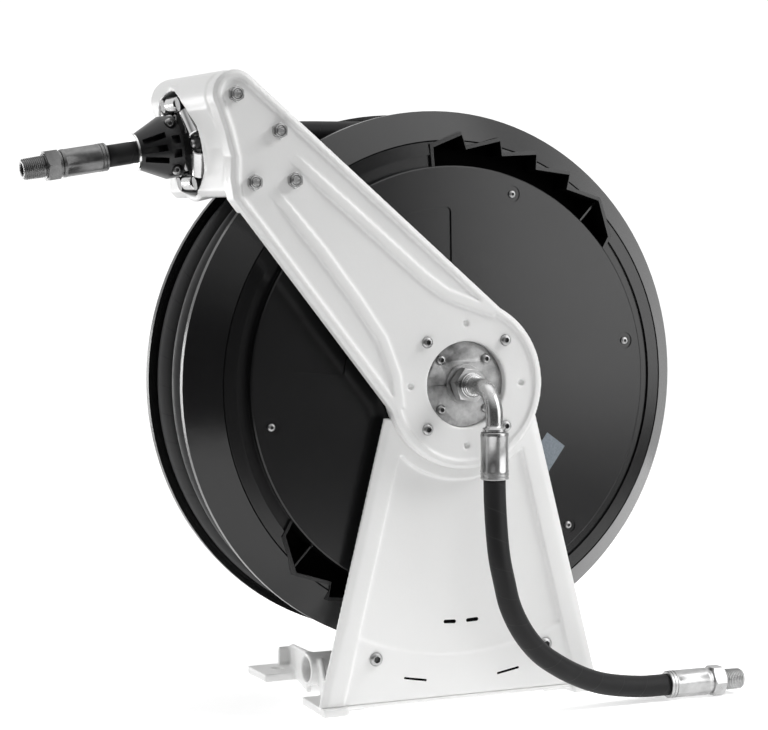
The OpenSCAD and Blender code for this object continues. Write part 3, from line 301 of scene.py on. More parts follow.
def slot_block(turn, radius, length, width, low, high):
    deselect()
    bpy.ops.mesh.primitive_circle_add(vertices=24, radius=width / 2, fill_type="NGON")
    block = bpy.context.active_object
    for point in block.data.vertices:
        point.co.y += math.copysign((length - width) / 2, point.co.y)
    bpy.ops.object.mode_set(mode="EDIT")
    bpy.ops.mesh.select_all(action="SELECT")
    bpy.ops.mesh.extrude_region_move(TRANSFORM_OT_translate={"value": (0.0, 0.0, high - low)})
    bpy.ops.mesh.select_all(action="SELECT")
    bpy.ops.mesh.normals_make_consistent(inside=False)
    bpy.ops.object.mode_set(mode="OBJECT")
    block.matrix_world = (
        Matrix.Translation((0.0, drum_y, axis_z)) @ Matrix.Rotation(math.radians(90), 4, "X")
        @ Matrix.Rotation(math.radians(turn), 4, "Z") @ Matrix.Translation((radius, 0.0, low)))
    bpy.ops.object.transform_apply()
    return block


# The upright is skinned without its four slots. They are milled afterwards, so that their
# edges stay crisp, and their insides are coloured near-black as painted shade. Each is given
# as its turn, its distance from the axis, its length and width, the level of the face and the
# wall there.
drum_y, axis_z = -0.011, 0.307
foot_face = 0.10775
slots = [(-93, 0.2277, 0.013, 0.0036, 0.106, 0.005),
         (-87, 0.2277, 0.013, 0.0036, 0.106, 0.005),
         (-100, 0.2838, 0.024, 0.0022, foot_face, 0.008),
         (-80, 0.2838, 0.024, 0.0022, foot_face, 0.008)]
lap, back_gap, slot_depth, above = 0.003, 0.0004, 0.003, 0.005
soft_casting("base", 0.0013, 6, "stand")
pedestal_piece = soft_casting("pedestal", 0.00135, 5, "stand", [
    slot_block(turn, radius, length + lap, width + lap, face_at - wall + back_gap, face_at)
    for turn, radius, length, width, face_at, wall in slots])
arm_piece = soft_casting("arm", 0.00114, 5, "stand")
soft_casting("guide_head", 0.0012, 8, "stand")

# The two long ribs rise out of the arm's face over their first few centimetres
arm_pad, rib_rise, rib_lead, rib_half = 0.1205, 0.05, 0.008, 0.0085
for start, onward in (((-0.176, 0.214), (0.105, -0.089)), ((-0.196, 0.184), (0.048, -0.056))):
    line = Vector(onward).normalized()
    for point in arm_piece.data.vertices:
        offset = Vector((point.co.x, point.co.z - axis_z)) - Vector(start)
        along = offset.dot(line)
        proud = drum_y - point.co.y - arm_pad
        on_rib = abs(offset.cross(line)) < rib_half and -rib_lead < along < rib_rise
        if proud > 0.0 and on_rib:
            point.co.y += proud * (1.0 - max(0.0, along / rib_rise))

# The slots' insides are coloured near-black: painted shade
slot_painted_shade, tree, shader = new_material("slot_painted_shade")
coat = place_effect(tree, skin, Peel_Scale=300.0)
tree.links.new(add_range(tree, coat.outputs["Tone"], 0.002, 0.006), shader.inputs["Base Color"])
shader.inputs["Roughness"].default_value = 0.8
shader.inputs["Specular IOR Level"].default_value = 0.1
for turn, radius, length, width, face_at, _ in slots:
    cutter = slot_block(turn, radius, length, width, face_at - slot_depth, face_at + above)
    cutter.data.materials.append(slot_painted_shade)
    milled = pedestal_piece.modifiers.new("milled", "BOOLEAN")
    milled.object = cutter
    milled.operation = "DIFFERENCE"
    milled.material_mode = "TRANSFER"
    only(pedestal_piece)
    bpy.ops.object.modifier_apply(modifier="milled")
    bpy.data.objects.remove(cutter)

# ---------------------------------------------------------------- inlet hose
# Half-inch rubber hose with a cloth-marked cover. It drops from the elbow's ferrule, turns
# forward over the floor and ends in a crimped ferrule with a threaded hexagon.

hose_r = 0.0104
wrap_pitch = 0.027
inlet_stops = [
    (0.0, -0.1895, 0.223), (0.0, -0.190, 0.205), (0.0, -0.192, 0.186), (0.0, -0.195, 0.167),
    (0.001, -0.198, 0.148), (0.005, -0.199, 0.128), (0.010, -0.199, 0.108),
    (0.018, -0.199, 0.090), (0.029, -0.199, 0.073), (0.043, -0.1985, 0.058),
    (0.060, -0.198, 0.046), (0.078, -0.196, 0.036), (0.096, -0.1935, 0.028),
    (0.114, -0.191, 0.022), (0.136, -0.189, 0.0175), (0.160, -0.1875, 0.0145),
    (0.186, -0.187, 0.0139)]


def flowing(stops, steps, first, last):
    line = [Vector(p) for p in stops]
    line = [line[0] - first] + line + [line[-1] + last]
    path = []
    for i in range(1, len(line) - 2):
        a, b, c, d = line[i - 1:i + 3]
        for k in range(steps):
            t = k / steps
            path.append(0.5 * (2 * b + (c - a) * t + (2 * a - 5 * b + 4 * c - d) * t * t
                               + (3 * b - a - 3 * c + d) * t ** 3))
    path.append(line[-2])
    return path


def hose_tube(name, path, closed=False, radius=hose_r, sides=28):
    shape = bmesh.new()
    uv = shape.loops.layers.uv.new("along")
    count = len(path)
    rings, runs, run = [], [], 0.0
    side = None
    for i, point in enumerate(path):
        ahead = path[(i + 1) % count] if closed or i < count - 1 else point
        behind = path[i - 1] if closed or i > 0 else point
        way = (ahead - behind).normalized()
        if side is None:
            side = way.orthogonal().normalized()
        side = (side - side.dot(way) * way).normalized()
        rise = way.cross(side)
        if i:
            run += (point - path[i - 1]).length
        runs.append(run)
        rings.append([shape.verts.new(point + radius * (
            math.cos(k * math.tau / sides) * side + math.sin(k * math.tau / sides) * rise))
            for k in range(sides)])
    spans = count if closed else count - 1
    total = run + (path[0] - path[-1]).length
    for i in range(spans):
        j = (i + 1) % count
        start, end = runs[i], (runs[j] if j else total)
        for k in range(sides):
            n = (k + 1) % sides
            face = shape.faces.new((rings[i][k], rings[i][n], rings[j][n], rings[j][k]))
            face.smooth = True
            for loop, where in zip(face.loops, (
                    (start, k / sides), (start, (k + 1) / sides),
                    (end, (k + 1) / sides), (end, k / sides))):
                loop[uv].uv = where
    if not closed:
        shape.faces.new(list(reversed(rings[0])))
        shape.faces.new(rings[-1])
    bmesh.ops.recalc_face_normals(shape, faces=shape.faces)
    mesh = bpy.data.meshes.new(name)
    shape.to_mesh(mesh)
    shape.free()
    tube = bpy.data.objects.new(name, mesh)
    bpy.context.scene.collection.objects.link(tube)
    return tube


# Seam of the cloth wrap that runs round the hose, and the weave it leaves in the rubber
cloth, given, out = effect(
    "cloth_marks", [("Pitch", "NodeSocketFloat", wrap_pitch), ("Seam", "NodeSocketFloat", 0.05)],
    [("Height", "NodeSocketFloat"), ("Seam", "NodeSocketFloat"), ("Dust", "NodeSocketFloat")])
strip = cloth.nodes.new("ShaderNodeUVMap")
strip.uv_map = "along"
parts = cloth.nodes.new("ShaderNodeSeparateXYZ")
cloth.links.new(strip.outputs["UV"], parts.inputs["Vector"])
turns = add_math(cloth, "ADD", add_math(cloth, "DIVIDE", parts.outputs["X"],
                                        given.outputs["Pitch"]), parts.outputs["Y"])
phase = add_math(cloth, "FRACT", turns)
off_seam = add_math(cloth, "MINIMUM", phase, add_math(cloth, "SUBTRACT", 1.0, phase))
seam = cloth.nodes.new("ShaderNodeMapRange")
seam.interpolation_type = "SMOOTHSTEP"
cloth.links.new(off_seam, seam.inputs["Value"])
cloth.links.new(given.outputs["Seam"], seam.inputs["From Max"])
weave_place = cloth.nodes.new("ShaderNodeCombineXYZ")
for way, threads in (("X", 900.0), ("Y", 58.0)):
    cloth.links.new(add_math(cloth, "MULTIPLY", parts.outputs[way], threads),
                    weave_place.inputs[way])
weave = add_noise(cloth, weave_place.outputs["Vector"], 1.0, 2.0)
spot = cloth.nodes.new("ShaderNodeTexCoord")
dust = add_noise(cloth, spot.outputs["Object"], 35.0, 5.0, 0.6)
cloth.links.new(add_math(cloth, "ADD", seam.outputs["Result"],
                         add_math(cloth, "MULTIPLY", weave, 0.35)), out.inputs["Height"])
cloth.links.new(seam.outputs["Result"], out.inputs["Seam"])
cloth.links.new(dust, out.inputs["Dust"])

hose_cover, tree, shader = new_material("hose_cover")
marks = place_effect(tree, cloth, Pitch=wrap_pitch, Seam=0.022)
dusty = tree.nodes.new("ShaderNodeMix")
dusty.name = "dusty"
dusty.data_type = "RGBA"
dusty.inputs["A"].default_value = (0.006, 0.006, 0.0063, 1.0)
dusty.inputs["B"].default_value = (0.016, 0.016, 0.0165, 1.0)
tree.links.new(marks.outputs["Dust"], dusty.inputs["Factor"])
lined = tree.nodes.new("ShaderNodeMix")
lined.name = "lined"
lined.data_type = "RGBA"
lined.inputs["A"].default_value = (0.022, 0.022, 0.022, 1.0)
tree.links.new(add_range(tree, marks.outputs["Seam"], 0.35, 1.0), lined.inputs["Factor"])
tree.links.new(dusty.outputs["Result"], lined.inputs["B"])
tree.links.new(lined.outputs["Result"], shader.inputs["Base Color"])
tree.links.new(add_range(tree, marks.outputs["Dust"], 0.42, 0.56), shader.inputs["Roughness"])
shader.inputs["Specular IOR Level"].default_value = 0.22
add_bump(tree, shader, marks.outputs["Height"], 0.5, 0.0003)

inlet_path = flowing(inlet_stops, 6, Vector((0.0, 0.0, -0.018)), Vector((0.026, -0.0014, 0.0)))
inlet_hose = hose_tube("inlet_hose_tube", inlet_path)
inlet_hose.data.materials.append(hose_cover)
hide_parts("inlet_hose")
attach(inlet_hose, "stand")


def turned_piece(name, stations, sides=48):
    deselect()
    radius, height = stations[0]
    bpy.ops.mesh.primitive_circle_add(vertices=sides, radius=radius, fill_type="NGON",
                                      location=(0.0, 0.0, height),
                                      rotation=(0.0, 0.0, math.radians(90)))
    piece = bpy.context.active_object
    piece.name = name
    bpy.ops.object.transform_apply()
    bpy.ops.object.mode_set(mode="EDIT")
    bpy.ops.mesh.select_all(action="SELECT")
    for next_radius, next_height in stations[1:]:
        bpy.ops.mesh.extrude_region_move(
            TRANSFORM_OT_translate={"value": (0.0, 0.0, next_height - height)})
        grow = next_radius / radius
        bpy.ops.transform.resize(value=(grow, grow, 1.0), center_override=(0.0, 0.0, next_height))
        radius, height = next_radius, next_height
    bpy.ops.mesh.select_all(action="SELECT")
    bpy.ops.mesh.normals_make_consistent(inside=False)
    bpy.ops.object.mode_set(mode="OBJECT")
    bpy.ops.object.shade_smooth_by_angle(angle=math.radians(30))
    return piece


def cut(piece, tool, operation="DIFFERENCE"):
    only(piece)
    bite = piece.modifiers.new("cut", "BOOLEAN")
    bite.operation = operation
    bite.object = tool
    bpy.ops.object.modifier_apply(modifier="cut")
    bpy.data.objects.remove(tool)
    bpy.ops.object.shade_smooth_by_angle(angle=math.radians(30))


def put(pieces, name, places):
    deselect()
    copies = []
    for place in places:
        for piece in pieces:
            copy = bpy.data.objects.new(name, piece.data.copy())
            bpy.context.scene.collection.objects.link(copy)
            copy.matrix_world = place
            copy.select_set(True)
            copies.append(copy)
    bpy.context.view_layer.objects.active = copies[0]
    bpy.ops.object.transform_apply()
    if len(copies) > 1:
        bpy.ops.object.join()
    return copies[0]


def fit_on(piece, node, body, finish):
    if finish:
        piece.data.materials.clear()
        piece.data.materials.append(finish)
    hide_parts(node)
    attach(piece, body)


# Crimped ferrule: eight flats pressed along it and two grooves at the hose end
ferrule_l = 0.044
ferrule = turned_piece("ferrule", [
    (0.0112, 0.0), (0.0127, 0.0), (0.0132, 0.0006), (0.0132, 0.0022), (0.0125, 0.0026),
    (0.0125, 0.0031), (0.0132, 0.0035), (0.0132, 0.0054), (0.0125, 0.0058), (0.0125, 0.0063),
    (0.0132, 0.0067), (0.0132, 0.0080), (0.0131, 0.0088), (0.0131, 0.0392), (0.0132, 0.0400),
    (0.0132, 0.0416), (0.0128, 0.0433), (0.0116, 0.0440)], 96)
flats_from, flats_to, flat_turn, flat_first, flat_share = 0.0085, 0.0395, 45, 11.0, 0.958
for point in ferrule.data.vertices:
    if flats_from < point.co.z < flats_to:
        angle = math.degrees(math.atan2(point.co.y, point.co.x))
        off_middle = (angle + flat_first) % flat_turn - flat_turn / 2
        pressed = min(1.0, flat_share / math.cos(math.radians(off_middle)))
        point.co.xy = point.co.xy * pressed

# Fitting: a hexagon, a neck and a male pipe thread cut as one long helix
fitting_core = turned_piece("fitting_core", [
    (0.0118, 0.0), (0.0118, 0.0160), (0.0097, 0.0165), (0.0095, 0.0180), (0.0091, 0.0352),
    (0.0085, 0.0370), (0.0063, 0.0370), (0.0055, 0.0362), (0.0055, 0.0040)])
hexagon = turned_piece("hexagon", [(0.01559, 0.0022), (0.01559, 0.0150)], 6)
cut(hexagon, turned_piece("hexagon_ends", [(0.0133, 0.0022), (0.0157, 0.0036), (0.0157, 0.0136),
                                           (0.0133, 0.0150)]), "INTERSECT")
thread_pitch, thread_foot = 0.001814, 0.0173
thread_r, thread_taper, ridge_r = 0.00972, 0.00045, 0.00062
thread_steps, steps_a_turn = 370, 36
helix = []
for k in range(thread_steps):
    turn = k / steps_a_turn
    taper = thread_r - thread_taper * k / (thread_steps - 1)
    helix.append(Vector((taper * math.cos(turn * math.tau), taper * math.sin(turn * math.tau),
                         thread_foot + turn * thread_pitch)))
thread = hose_tube("thread", helix, radius=ridge_r, sides=6)

turned_marks, given, out = effect(
    "turned_marks", [("Mark Scale", "NodeSocketFloat", 120.0)],
    [("Height", "NodeSocketFloat"), ("Stain", "NodeSocketFloat")])
place = turned_marks.nodes.new("ShaderNodeTexCoord")
fine = turned_marks.nodes.new("ShaderNodeTexNoise")
fine.inputs["Detail"].default_value = 3.0
turned_marks.links.new(place.outputs["Object"], fine.inputs["Vector"])
turned_marks.links.new(given.outputs["Mark Scale"], fine.inputs["Scale"])
turned_marks.links.new(fine.outputs["Fac"], out.inputs["Height"])
turned_marks.links.new(add_noise(turned_marks, place.outputs["Object"], 60.0, 5.0, 0.6),
                       out.inputs["Stain"])


def metal_material(name, dark, light, mark_scale, rough_low, rough_high, marks_bump):
    finish, tree, shader = new_material(name)
    shader.inputs["Metallic"].default_value = 1.0
    marks = place_effect(tree, turned_marks, Mark_Scale=mark_scale)
    mix = tree.nodes.new("ShaderNodeMix")
    mix.data_type = "RGBA"
    mix.inputs["A"].default_value = (*dark, 1.0)
    mix.inputs["B"].default_value = (*light, 1.0)
    tree.links.new(add_range(tree, marks.outputs["Stain"], 0.0, 1.0, 0.3, 0.7),
                   mix.inputs["Factor"])
    tree.links.new(mix.outputs["Result"], shader.inputs["Base Color"])
    tree.links.new(add_range(tree, marks.outputs["Stain"], rough_low, rough_high, 0.3, 0.7),
                   shader.inputs["Roughness"])
    add_bump(tree, shader, marks.outputs["Height"], marks_bump, 0.0002)
    return finish


plated = metal_material("zinc_plated", (0.36, 0.36, 0.36), (0.56, 0.56, 0.56), 700.0, 0.26, 0.38,
                        0.1)
inlet_end = (Matrix.Translation(inlet_stops[-1]) @ Matrix.Rotation(math.radians(-3), 4, "Z")
             @ Matrix.Rotation(math.radians(90), 4, "Y"))
inlet_ferrule = put([ferrule], "inlet_ferrule_crimped", [inlet_end])
fit_on(inlet_ferrule, "inlet_ferrule", "stand", plated)
inlet_fitting = put([fitting_core, hexagon, thread], "inlet_fitting_threaded", [
    inlet_end @ Matrix.Translation((0.0, 0.0, ferrule_l))
    @ Matrix.Rotation(math.radians(30), 4, "Z")])
fit_on(inlet_fitting, "inlet_fitting", "stand", plated)

# ---------------------------------------------------------------- hose on the drum
# One long hose. Under the outer turn lie two closed layers, staggered like stacked pipes,
# and the outer turn leaves over the top, through the rollers, to the outlet.

# The turns below the head are painted a lighter grey: painted light on the lower turns
wound_cover = hose_cover.copy()
wound_cover.name = "wound_hose_cover"
tree = wound_cover.node_tree
height = tree.nodes.new("ShaderNodeSeparateXYZ")
tree.links.new(tree.nodes.new("ShaderNodeTexCoord").outputs["Object"], height.inputs["Vector"])
painted_light_low_turns = tree.nodes.new("ShaderNodeMix")
painted_light_low_turns.data_type = "RGBA"
tree.links.new(add_range(tree, height.outputs["Z"], 0.7, 0.0, 0.44, 0.52),
               painted_light_low_turns.inputs["Factor"])
tree.links.new(tree.nodes["dusty"].outputs["Result"], painted_light_low_turns.inputs["A"])
painted_light_low_turns.inputs["B"].default_value = (0.060, 0.060, 0.061, 1.0)
tree.links.new(painted_light_low_turns.outputs["Result"], tree.nodes["lined"].inputs["B"])
wrap_r, layer_step, turn_step = 0.241, 0.0186, 0.0214


def at_drum(x, y, out):
    return Vector((x, drum_y - out, axis_z + y))


def turn_of_hose(name, radius, out):
    count = 160
    path = [at_drum(radius * math.cos(a), radius * math.sin(a), out)
            for a in (k * math.tau / count for k in range(count))]
    return hose_tube(name, path, closed=True, sides=20)


turns_of_hose = []
for layer, across_layer in ((1, 4), (2, 3)):
    for k in range(across_layer):
        turns_of_hose.append(turn_of_hose(
            f"wound_turn_{layer}_{k}", wrap_r - layer * layer_step,
            (k - (across_layer - 1) / 2) * turn_step))
turns_of_hose.append(turn_of_hose("wound_turn_rear", wrap_r + 0.0013, -0.0393))
deselect()
for turn in turns_of_hose:
    turn.select_set(True)
wound_hose = turns_of_hose[0]
bpy.context.view_layer.objects.active = wound_hose
bpy.ops.object.join()
wound_hose.name = "wound_hose"
wound_hose.data.materials.clear()
wound_hose.data.materials.append(wound_cover)
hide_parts("hose_pack")
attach(wound_hose, "drum")

# The outer turn runs clockwise from the left, over the top and straight out with a soft knee
slope = math.radians(8.7)
outlet_at = Vector((-0.240, 0.2276))
knee_r = 0.650
knee_l = knee_r * math.tan(slope / 2)
knee_x = outlet_at.x + (wrap_r - outlet_at.y) / math.tan(slope)
lead_end = 0.075
arc_from, arc_sweep, arc_steps = 122.0, 328.0, 150
lead = []
for k in range(arc_steps):
    angle = math.radians(arc_from + arc_sweep * k / (arc_steps - 1))
    lead.append(at_drum(wrap_r * math.cos(angle), wrap_r * math.sin(angle), 0.0))
for k in range(1, 9):
    lead.append(at_drum((knee_x + knee_l) * k / 8, wrap_r, 0.0))
for k in range(1, 9):
    bend = slope * k / 8
    lead.append(at_drum(knee_x + knee_l - knee_r * math.sin(bend),
                        wrap_r - knee_r * (1 - math.cos(bend)), 0.0))
outlet_end = outlet_at - lead_end * Vector((math.cos(slope), math.sin(slope)))
bent = Vector((lead[-1].x, lead[-1].z - axis_z))
for k in range(1, 13):
    spot_on = bent.lerp(outlet_end, k / 12)
    lead.append(at_drum(spot_on.x, spot_on.y, 0.0))
lead_hose = hose_tube("lead_hose", lead)
lead_hose.data.materials.append(wound_cover)
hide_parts("hose_lead")
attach(lead_hose, "stand")

# ---------------------------------------------------------------- drum mouldings
# Flanges, cover, barrel and rear cap are glass-filled nylon mouldings, dark grey with a fine
# spark-eroded grain that catches the light as tiny specks.

moulded, given, out = effect(
    "spark_grain", [("Grain Scale", "NodeSocketFloat", 1500.0)],
    [("Height", "NodeSocketFloat"), ("Speck", "NodeSocketFloat"), ("Flow", "NodeSocketFloat")])
place = moulded.nodes.new("ShaderNodeTexCoord")
fine = moulded.nodes.new("ShaderNodeTexNoise")
fine.inputs["Detail"].default_value = 1.0
moulded.links.new(place.outputs["Object"], fine.inputs["Vector"])
moulded.links.new(given.outputs["Grain Scale"], fine.inputs["Scale"])
moulded.links.new(fine.outputs["Fac"], out.inputs["Height"])
moulded.links.new(add_range(moulded, fine.outputs["Fac"], 0.0, 1.0, 0.35, 0.75),
                  out.inputs["Speck"])
moulded.links.new(add_noise(moulded, place.outputs["Object"], 9.0, 4.0), out.inputs["Flow"])


def moulding_material(name, dark, light, grain_scale, rough_low, rough_high, grain_bump):
    finish, tree, shader = new_material(name)
    grain = place_effect(tree, moulded, Grain_Scale=grain_scale)
    mix = tree.nodes.new("ShaderNodeMix")
    mix.data_type = "RGBA"
    mix.inputs["A"].default_value = (*dark, 1.0)
    mix.inputs["B"].default_value = (*light, 1.0)
    tree.links.new(grain.outputs["Speck"], mix.inputs["Factor"])
    tree.links.new(mix.outputs["Result"], shader.inputs["Base Color"])
    tree.links.new(add_range(tree, grain.outputs["Flow"], rough_low, rough_high),
                   shader.inputs["Roughness"])
    add_bump(tree, shader, grain.outputs["Height"], grain_bump, 0.0003)
    return finish


drum_moulding = moulding_material("drum_moulding", (0.002, 0.002, 0.0022), (0.008, 0.008, 0.0085),
                                  1300.0, 0.20, 0.27, 0.09)


def rounded_moulding(node, edge_r, body, finish, tools=()):
    piece = bpy.data.objects.new(node + "_moulded", nodes[node].data.copy())
    bpy.context.scene.collection.objects.link(piece)
    for tool, operation in tools:
        cut(piece, tool, operation)
    only(piece)
    bpy.ops.object.mode_set(mode="EDIT")
    bpy.ops.mesh.select_all(action="SELECT")
    bpy.ops.mesh.remove_doubles(threshold=same_point)
    bpy.ops.mesh.dissolve_limited(angle_limit=math.radians(0.3))
    bpy.ops.object.mode_set(mode="OBJECT")
    edge = piece.modifiers.new("edge", "BEVEL")
    edge.width = edge_r
    edge.segments = 2
    edge.limit_method = "ANGLE"
    edge.angle_limit = math.radians(28)
    bpy.ops.object.modifier_apply(modifier="edge")
    bpy.ops.object.shade_smooth_by_angle(angle=math.radians(35))
    level = piece.modifiers.new("level", "WEIGHTED_NORMAL")
    level.keep_sharp = True
    level.weight = 100
    bpy.ops.object.modifier_apply(modifier="level")
    fit_on(piece, node, body, finish)
    return piece


front = rounded_moulding("flange_front", 0.0005, "drum", drum_moulding)
# Walls and floors of the flange's deep pockets are coloured near-black and dull: painted shade
pocket_painted_shade, tree, shader = new_material("pocket_painted_shade")
grain = place_effect(tree, moulded, Grain_Scale=1300.0)
tree.links.new(add_range(tree, grain.outputs["Speck"], 0.001, 0.003), shader.inputs["Base Color"])
shader.inputs["Roughness"].default_value = 0.85
shader.inputs["Specular IOR Level"].default_value = 0.05
front.data.materials.append(pocket_painted_shade)
pockets_from, pockets_to, pocket_lip, pocket_floor = 0.205, 0.2375, 0.083, 0.06
for face in front.data.polygons:
    from_axis = math.hypot(face.center.x, face.center.z - axis_z)
    out = drum_y - face.center.y
    wall_face = abs(face.normal.y) < 0.3 and out < pocket_lip
    floor_face = face.normal.y < -0.9 and out < pocket_floor
    if pockets_from < from_axis < pockets_to and (wall_face or floor_face):
        face.material_index = 1

# The cover's two bare recesses follow its edge: a ring's sector with round corners. The solid
# has a plain shallow pocket at each, which is filled first.
reel_frame = (Matrix.Translation((0.0, drum_y, axis_z))
              @ Matrix.Rotation(math.radians(90), 4, "X"))
cover_face = drum_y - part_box("drum_cover")[0][1]
cover_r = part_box("drum_cover")[1][0]
pocket_in, pocket_size = 0.0608, (0.0584, 0.0444, 0.001)
recess_inner, recess_outer, recess_depth = 0.114, 0.1675, 0.0018


def pocket_filler(turn):
    deselect()
    bpy.ops.mesh.primitive_cube_add(size=1.0)
    block = bpy.context.active_object
    block.matrix_world = (reel_frame @ Matrix.Rotation(math.radians(turn - 90), 4, "Z")
                          @ Matrix.Translation((0.0, cover_r - pocket_in, cover_face - 0.0005))
                          @ Matrix.Diagonal((*pocket_size, 1.0)))
    return block


def sector_recess(first, last):
    deselect()
    bpy.ops.mesh.primitive_grid_add(x_subdivisions=16, y_subdivisions=1, size=1.0)
    block = bpy.context.active_object
    bpy.ops.object.mode_set(mode="EDIT")
    bpy.ops.mesh.select_all(action="SELECT")
    bpy.ops.mesh.extrude_region_move(TRANSFORM_OT_translate={"value": (0.0, 0.0, 1.0)})
    bpy.ops.mesh.select_all(action="DESELECT")
    bpy.ops.mesh.select_mode(type="EDGE")
    bpy.ops.object.mode_set(mode="OBJECT")
    points = block.data.vertices
    for edge in block.data.edges:
        a, b = (points[k].co for k in edge.vertices)
        edge.select = abs(a.x * a.y) > 0.2499 and (a.xy - b.xy).length < 0.001
    bpy.ops.object.mode_set(mode="EDIT")
    bpy.ops.mesh.bevel(offset=0.08, segments=5, affect="EDGES")
    bpy.ops.object.mode_set(mode="OBJECT")
    for point in points:
        turn = math.radians(first + (0.5 - point.co.x) * (last - first))
        radius = recess_inner + (point.co.y + 0.5) * (recess_outer - recess_inner)
        point.co = (radius * math.cos(turn), radius * math.sin(turn),
                    cover_face - recess_depth + point.co.z * 2 * recess_depth)
    bpy.ops.object.mode_set(mode="EDIT")
    bpy.ops.mesh.select_all(action="SELECT")
    bpy.ops.mesh.normals_make_consistent(inside=False)
    bpy.ops.mesh.select_mode(type="VERT")
    bpy.ops.object.mode_set(mode="OBJECT")
    block.matrix_world = reel_frame
    return block


rounded_moulding("drum_cover", 0.0004, "drum", drum_moulding, [
    (pocket_filler(101.5), "UNION"), (pocket_filler(161.5), "UNION"),
    (sector_recess(90.7, 113.3), "DIFFERENCE"), (sector_recess(152.0, 174.6), "DIFFERENCE")])

# The rear flange, barrel and rear cap keep their solids
for node in ("flange_rear", "drum_core", "rear_cap"):
    nodes[node].data.materials.clear()
    nodes[node].data.materials.append(drum_moulding)

# ---------------------------------------------------------------- guide mouldings
# The roller frame and the two halves of the hose stop are black acetal, smoother than the
# drum.

guide_moulding = moulding_material("guide_moulding", (0.006, 0.006, 0.0065),
                                   (0.010, 0.010, 0.011), 900.0, 0.26, 0.36, 0.08)
for node in ("guide_frame", "hose_stop_front", "hose_stop_rear"):
    rounded_moulding(node, 0.0006, "stand", guide_moulding)

# ---------------------------------------------------------------- button-head screws
# Plated steel screws with a round head and a hexagon socket, whose inside is coloured
# near-black as painted shade. They hold the upright to the base, the arm's ring to the
# upright, the hub disc, and the drum's cover.

screw_steel = metal_material("screw_steel", (0.30, 0.30, 0.30), (0.50, 0.50, 0.50), 700.0, 0.26,
                             0.38, 0.06)
# The socket's inside is coloured near-black: painted shade
socket_painted_shade, tree, shader = new_material("socket_painted_shade")
socket_shade_noise = place_effect(tree, turned_marks, Mark_Scale=900.0)
tree.links.new(add_range(tree, socket_shade_noise.outputs["Stain"], 0.02, 0.07), shader.inputs["Base Color"])
shader.inputs["Roughness"].default_value = 0.5


def reel_at(x, y, out, turn=0.0):
    return (reel_frame @ Matrix.Translation((x, y, out))
            @ Matrix.Rotation(math.radians(turn), 4, "Z"))


def round_the_axis(count, first, radius, out):
    return [reel_at(radius * math.cos(a), radius * math.sin(a), out, math.degrees(a) + 17.0)
            for a in (math.radians(first + k * 360 / count) for k in range(count))]


def socket_screw(shank_r, head_r, head_h, shank_l):
    flat_r, socket_r = 0.5 * head_r, 0.86 * shank_r
    crown = [(flat_r + (head_r - flat_r) * math.cos(math.radians(t)),
              head_h * (0.2 + 0.8 * math.sin(math.radians(t)))) for t in (0, 18, 36, 54, 72, 90)]
    screw = turned_piece("screw", [(0.8 * shank_r, -shank_l), (shank_r, -0.9 * shank_l),
                                   (shank_r, 0.0), (0.97 * head_r, 0.0)] + crown, 32)
    screw.data.materials.append(screw_steel)
    screw.data.materials.append(socket_painted_shade)
    cut(screw, turned_piece("socket", [(socket_r, 0.35 * head_h), (socket_r, 2 * head_h)], 6))
    for face in screw.data.polygons:
        inside = face.center.xy.length < 0.84 * shank_r
        if inside and 0.3 * head_h < face.center.z < 0.99 * head_h:
            face.material_index = 1
    return screw


disc_face, cover_seat = 0.1135, 0.0915
for node, body, sizes, places in (
        ("pedestal_screws", "stand", (0.004, 0.0066, 0.0035, 0.02175),
         [reel_at(x, -0.257, foot_face, 20.0) for x in (-0.09, 0.09)]),
        ("arm_screws", "stand", (0.003, 0.0056, 0.0036, 0.019),
         round_the_axis(4, 45.0, 0.058, arm_pad)),
        ("hub_screws", "stand", (0.0026, 0.0047, 0.0032, 0.014),
         round_the_axis(4, 45.0, 0.0332, disc_face)),
        ("cover_screws", "drum", (0.002, 0.0038, 0.0024, 0.013),
         round_the_axis(6, 10.6, 0.1903, cover_seat))):
    fit_on(put([socket_screw(*sizes)], node + "_button", places), node, body, None)

# ---------------------------------------------------------------- the head's nuts and studs
# Four plated studs hold the guide head on the arm. Each ends in a locking nut with a round
# collar, which stands on the arm's pad.

nut = turned_piece("nut", [(0.007506, 0.0), (0.007506, 0.0045)], 6)
cut(nut, turned_piece("nut_ends", [(0.0065, 0.0), (0.0076, 0.0007), (0.0076, 0.0037),
                                   (0.0064, 0.0045)]), "INTERSECT")
collar = turned_piece("collar", [(0.0057, 0.0040), (0.0057, 0.0053), (0.0051, 0.0059),
                                 (0.0044, 0.0059), (0.0042, 0.0048)], 32)
stud = turned_piece("stud", [(0.004, -0.0265), (0.004, 0.0058), (0.0034, 0.0065),
                             (0.0024, 0.0065), (0.0019, 0.0060)], 32)
guide_x, guide_y = -0.237, 0.229
bolt_places = [reel_at(guide_x + x, guide_y + y, arm_pad, 30.0) for x, y in (
    (0.0078, 0.0408), (0.0494, 0.0082), (0.0248, -0.0384), (0.0639, -0.0365))]
fit_on(put([nut, collar], "head_nuts_locking", bolt_places), "head_nuts", "stand", plated)
fit_on(put([stud], "head_studs", bolt_places), "head_bolts", "stand", plated)

# ---------------------------------------------------------------- hub disc
# A raw die-cast disc that closes the hub. Its parting line runs from a notch at the inlet nut
# to the left edge.

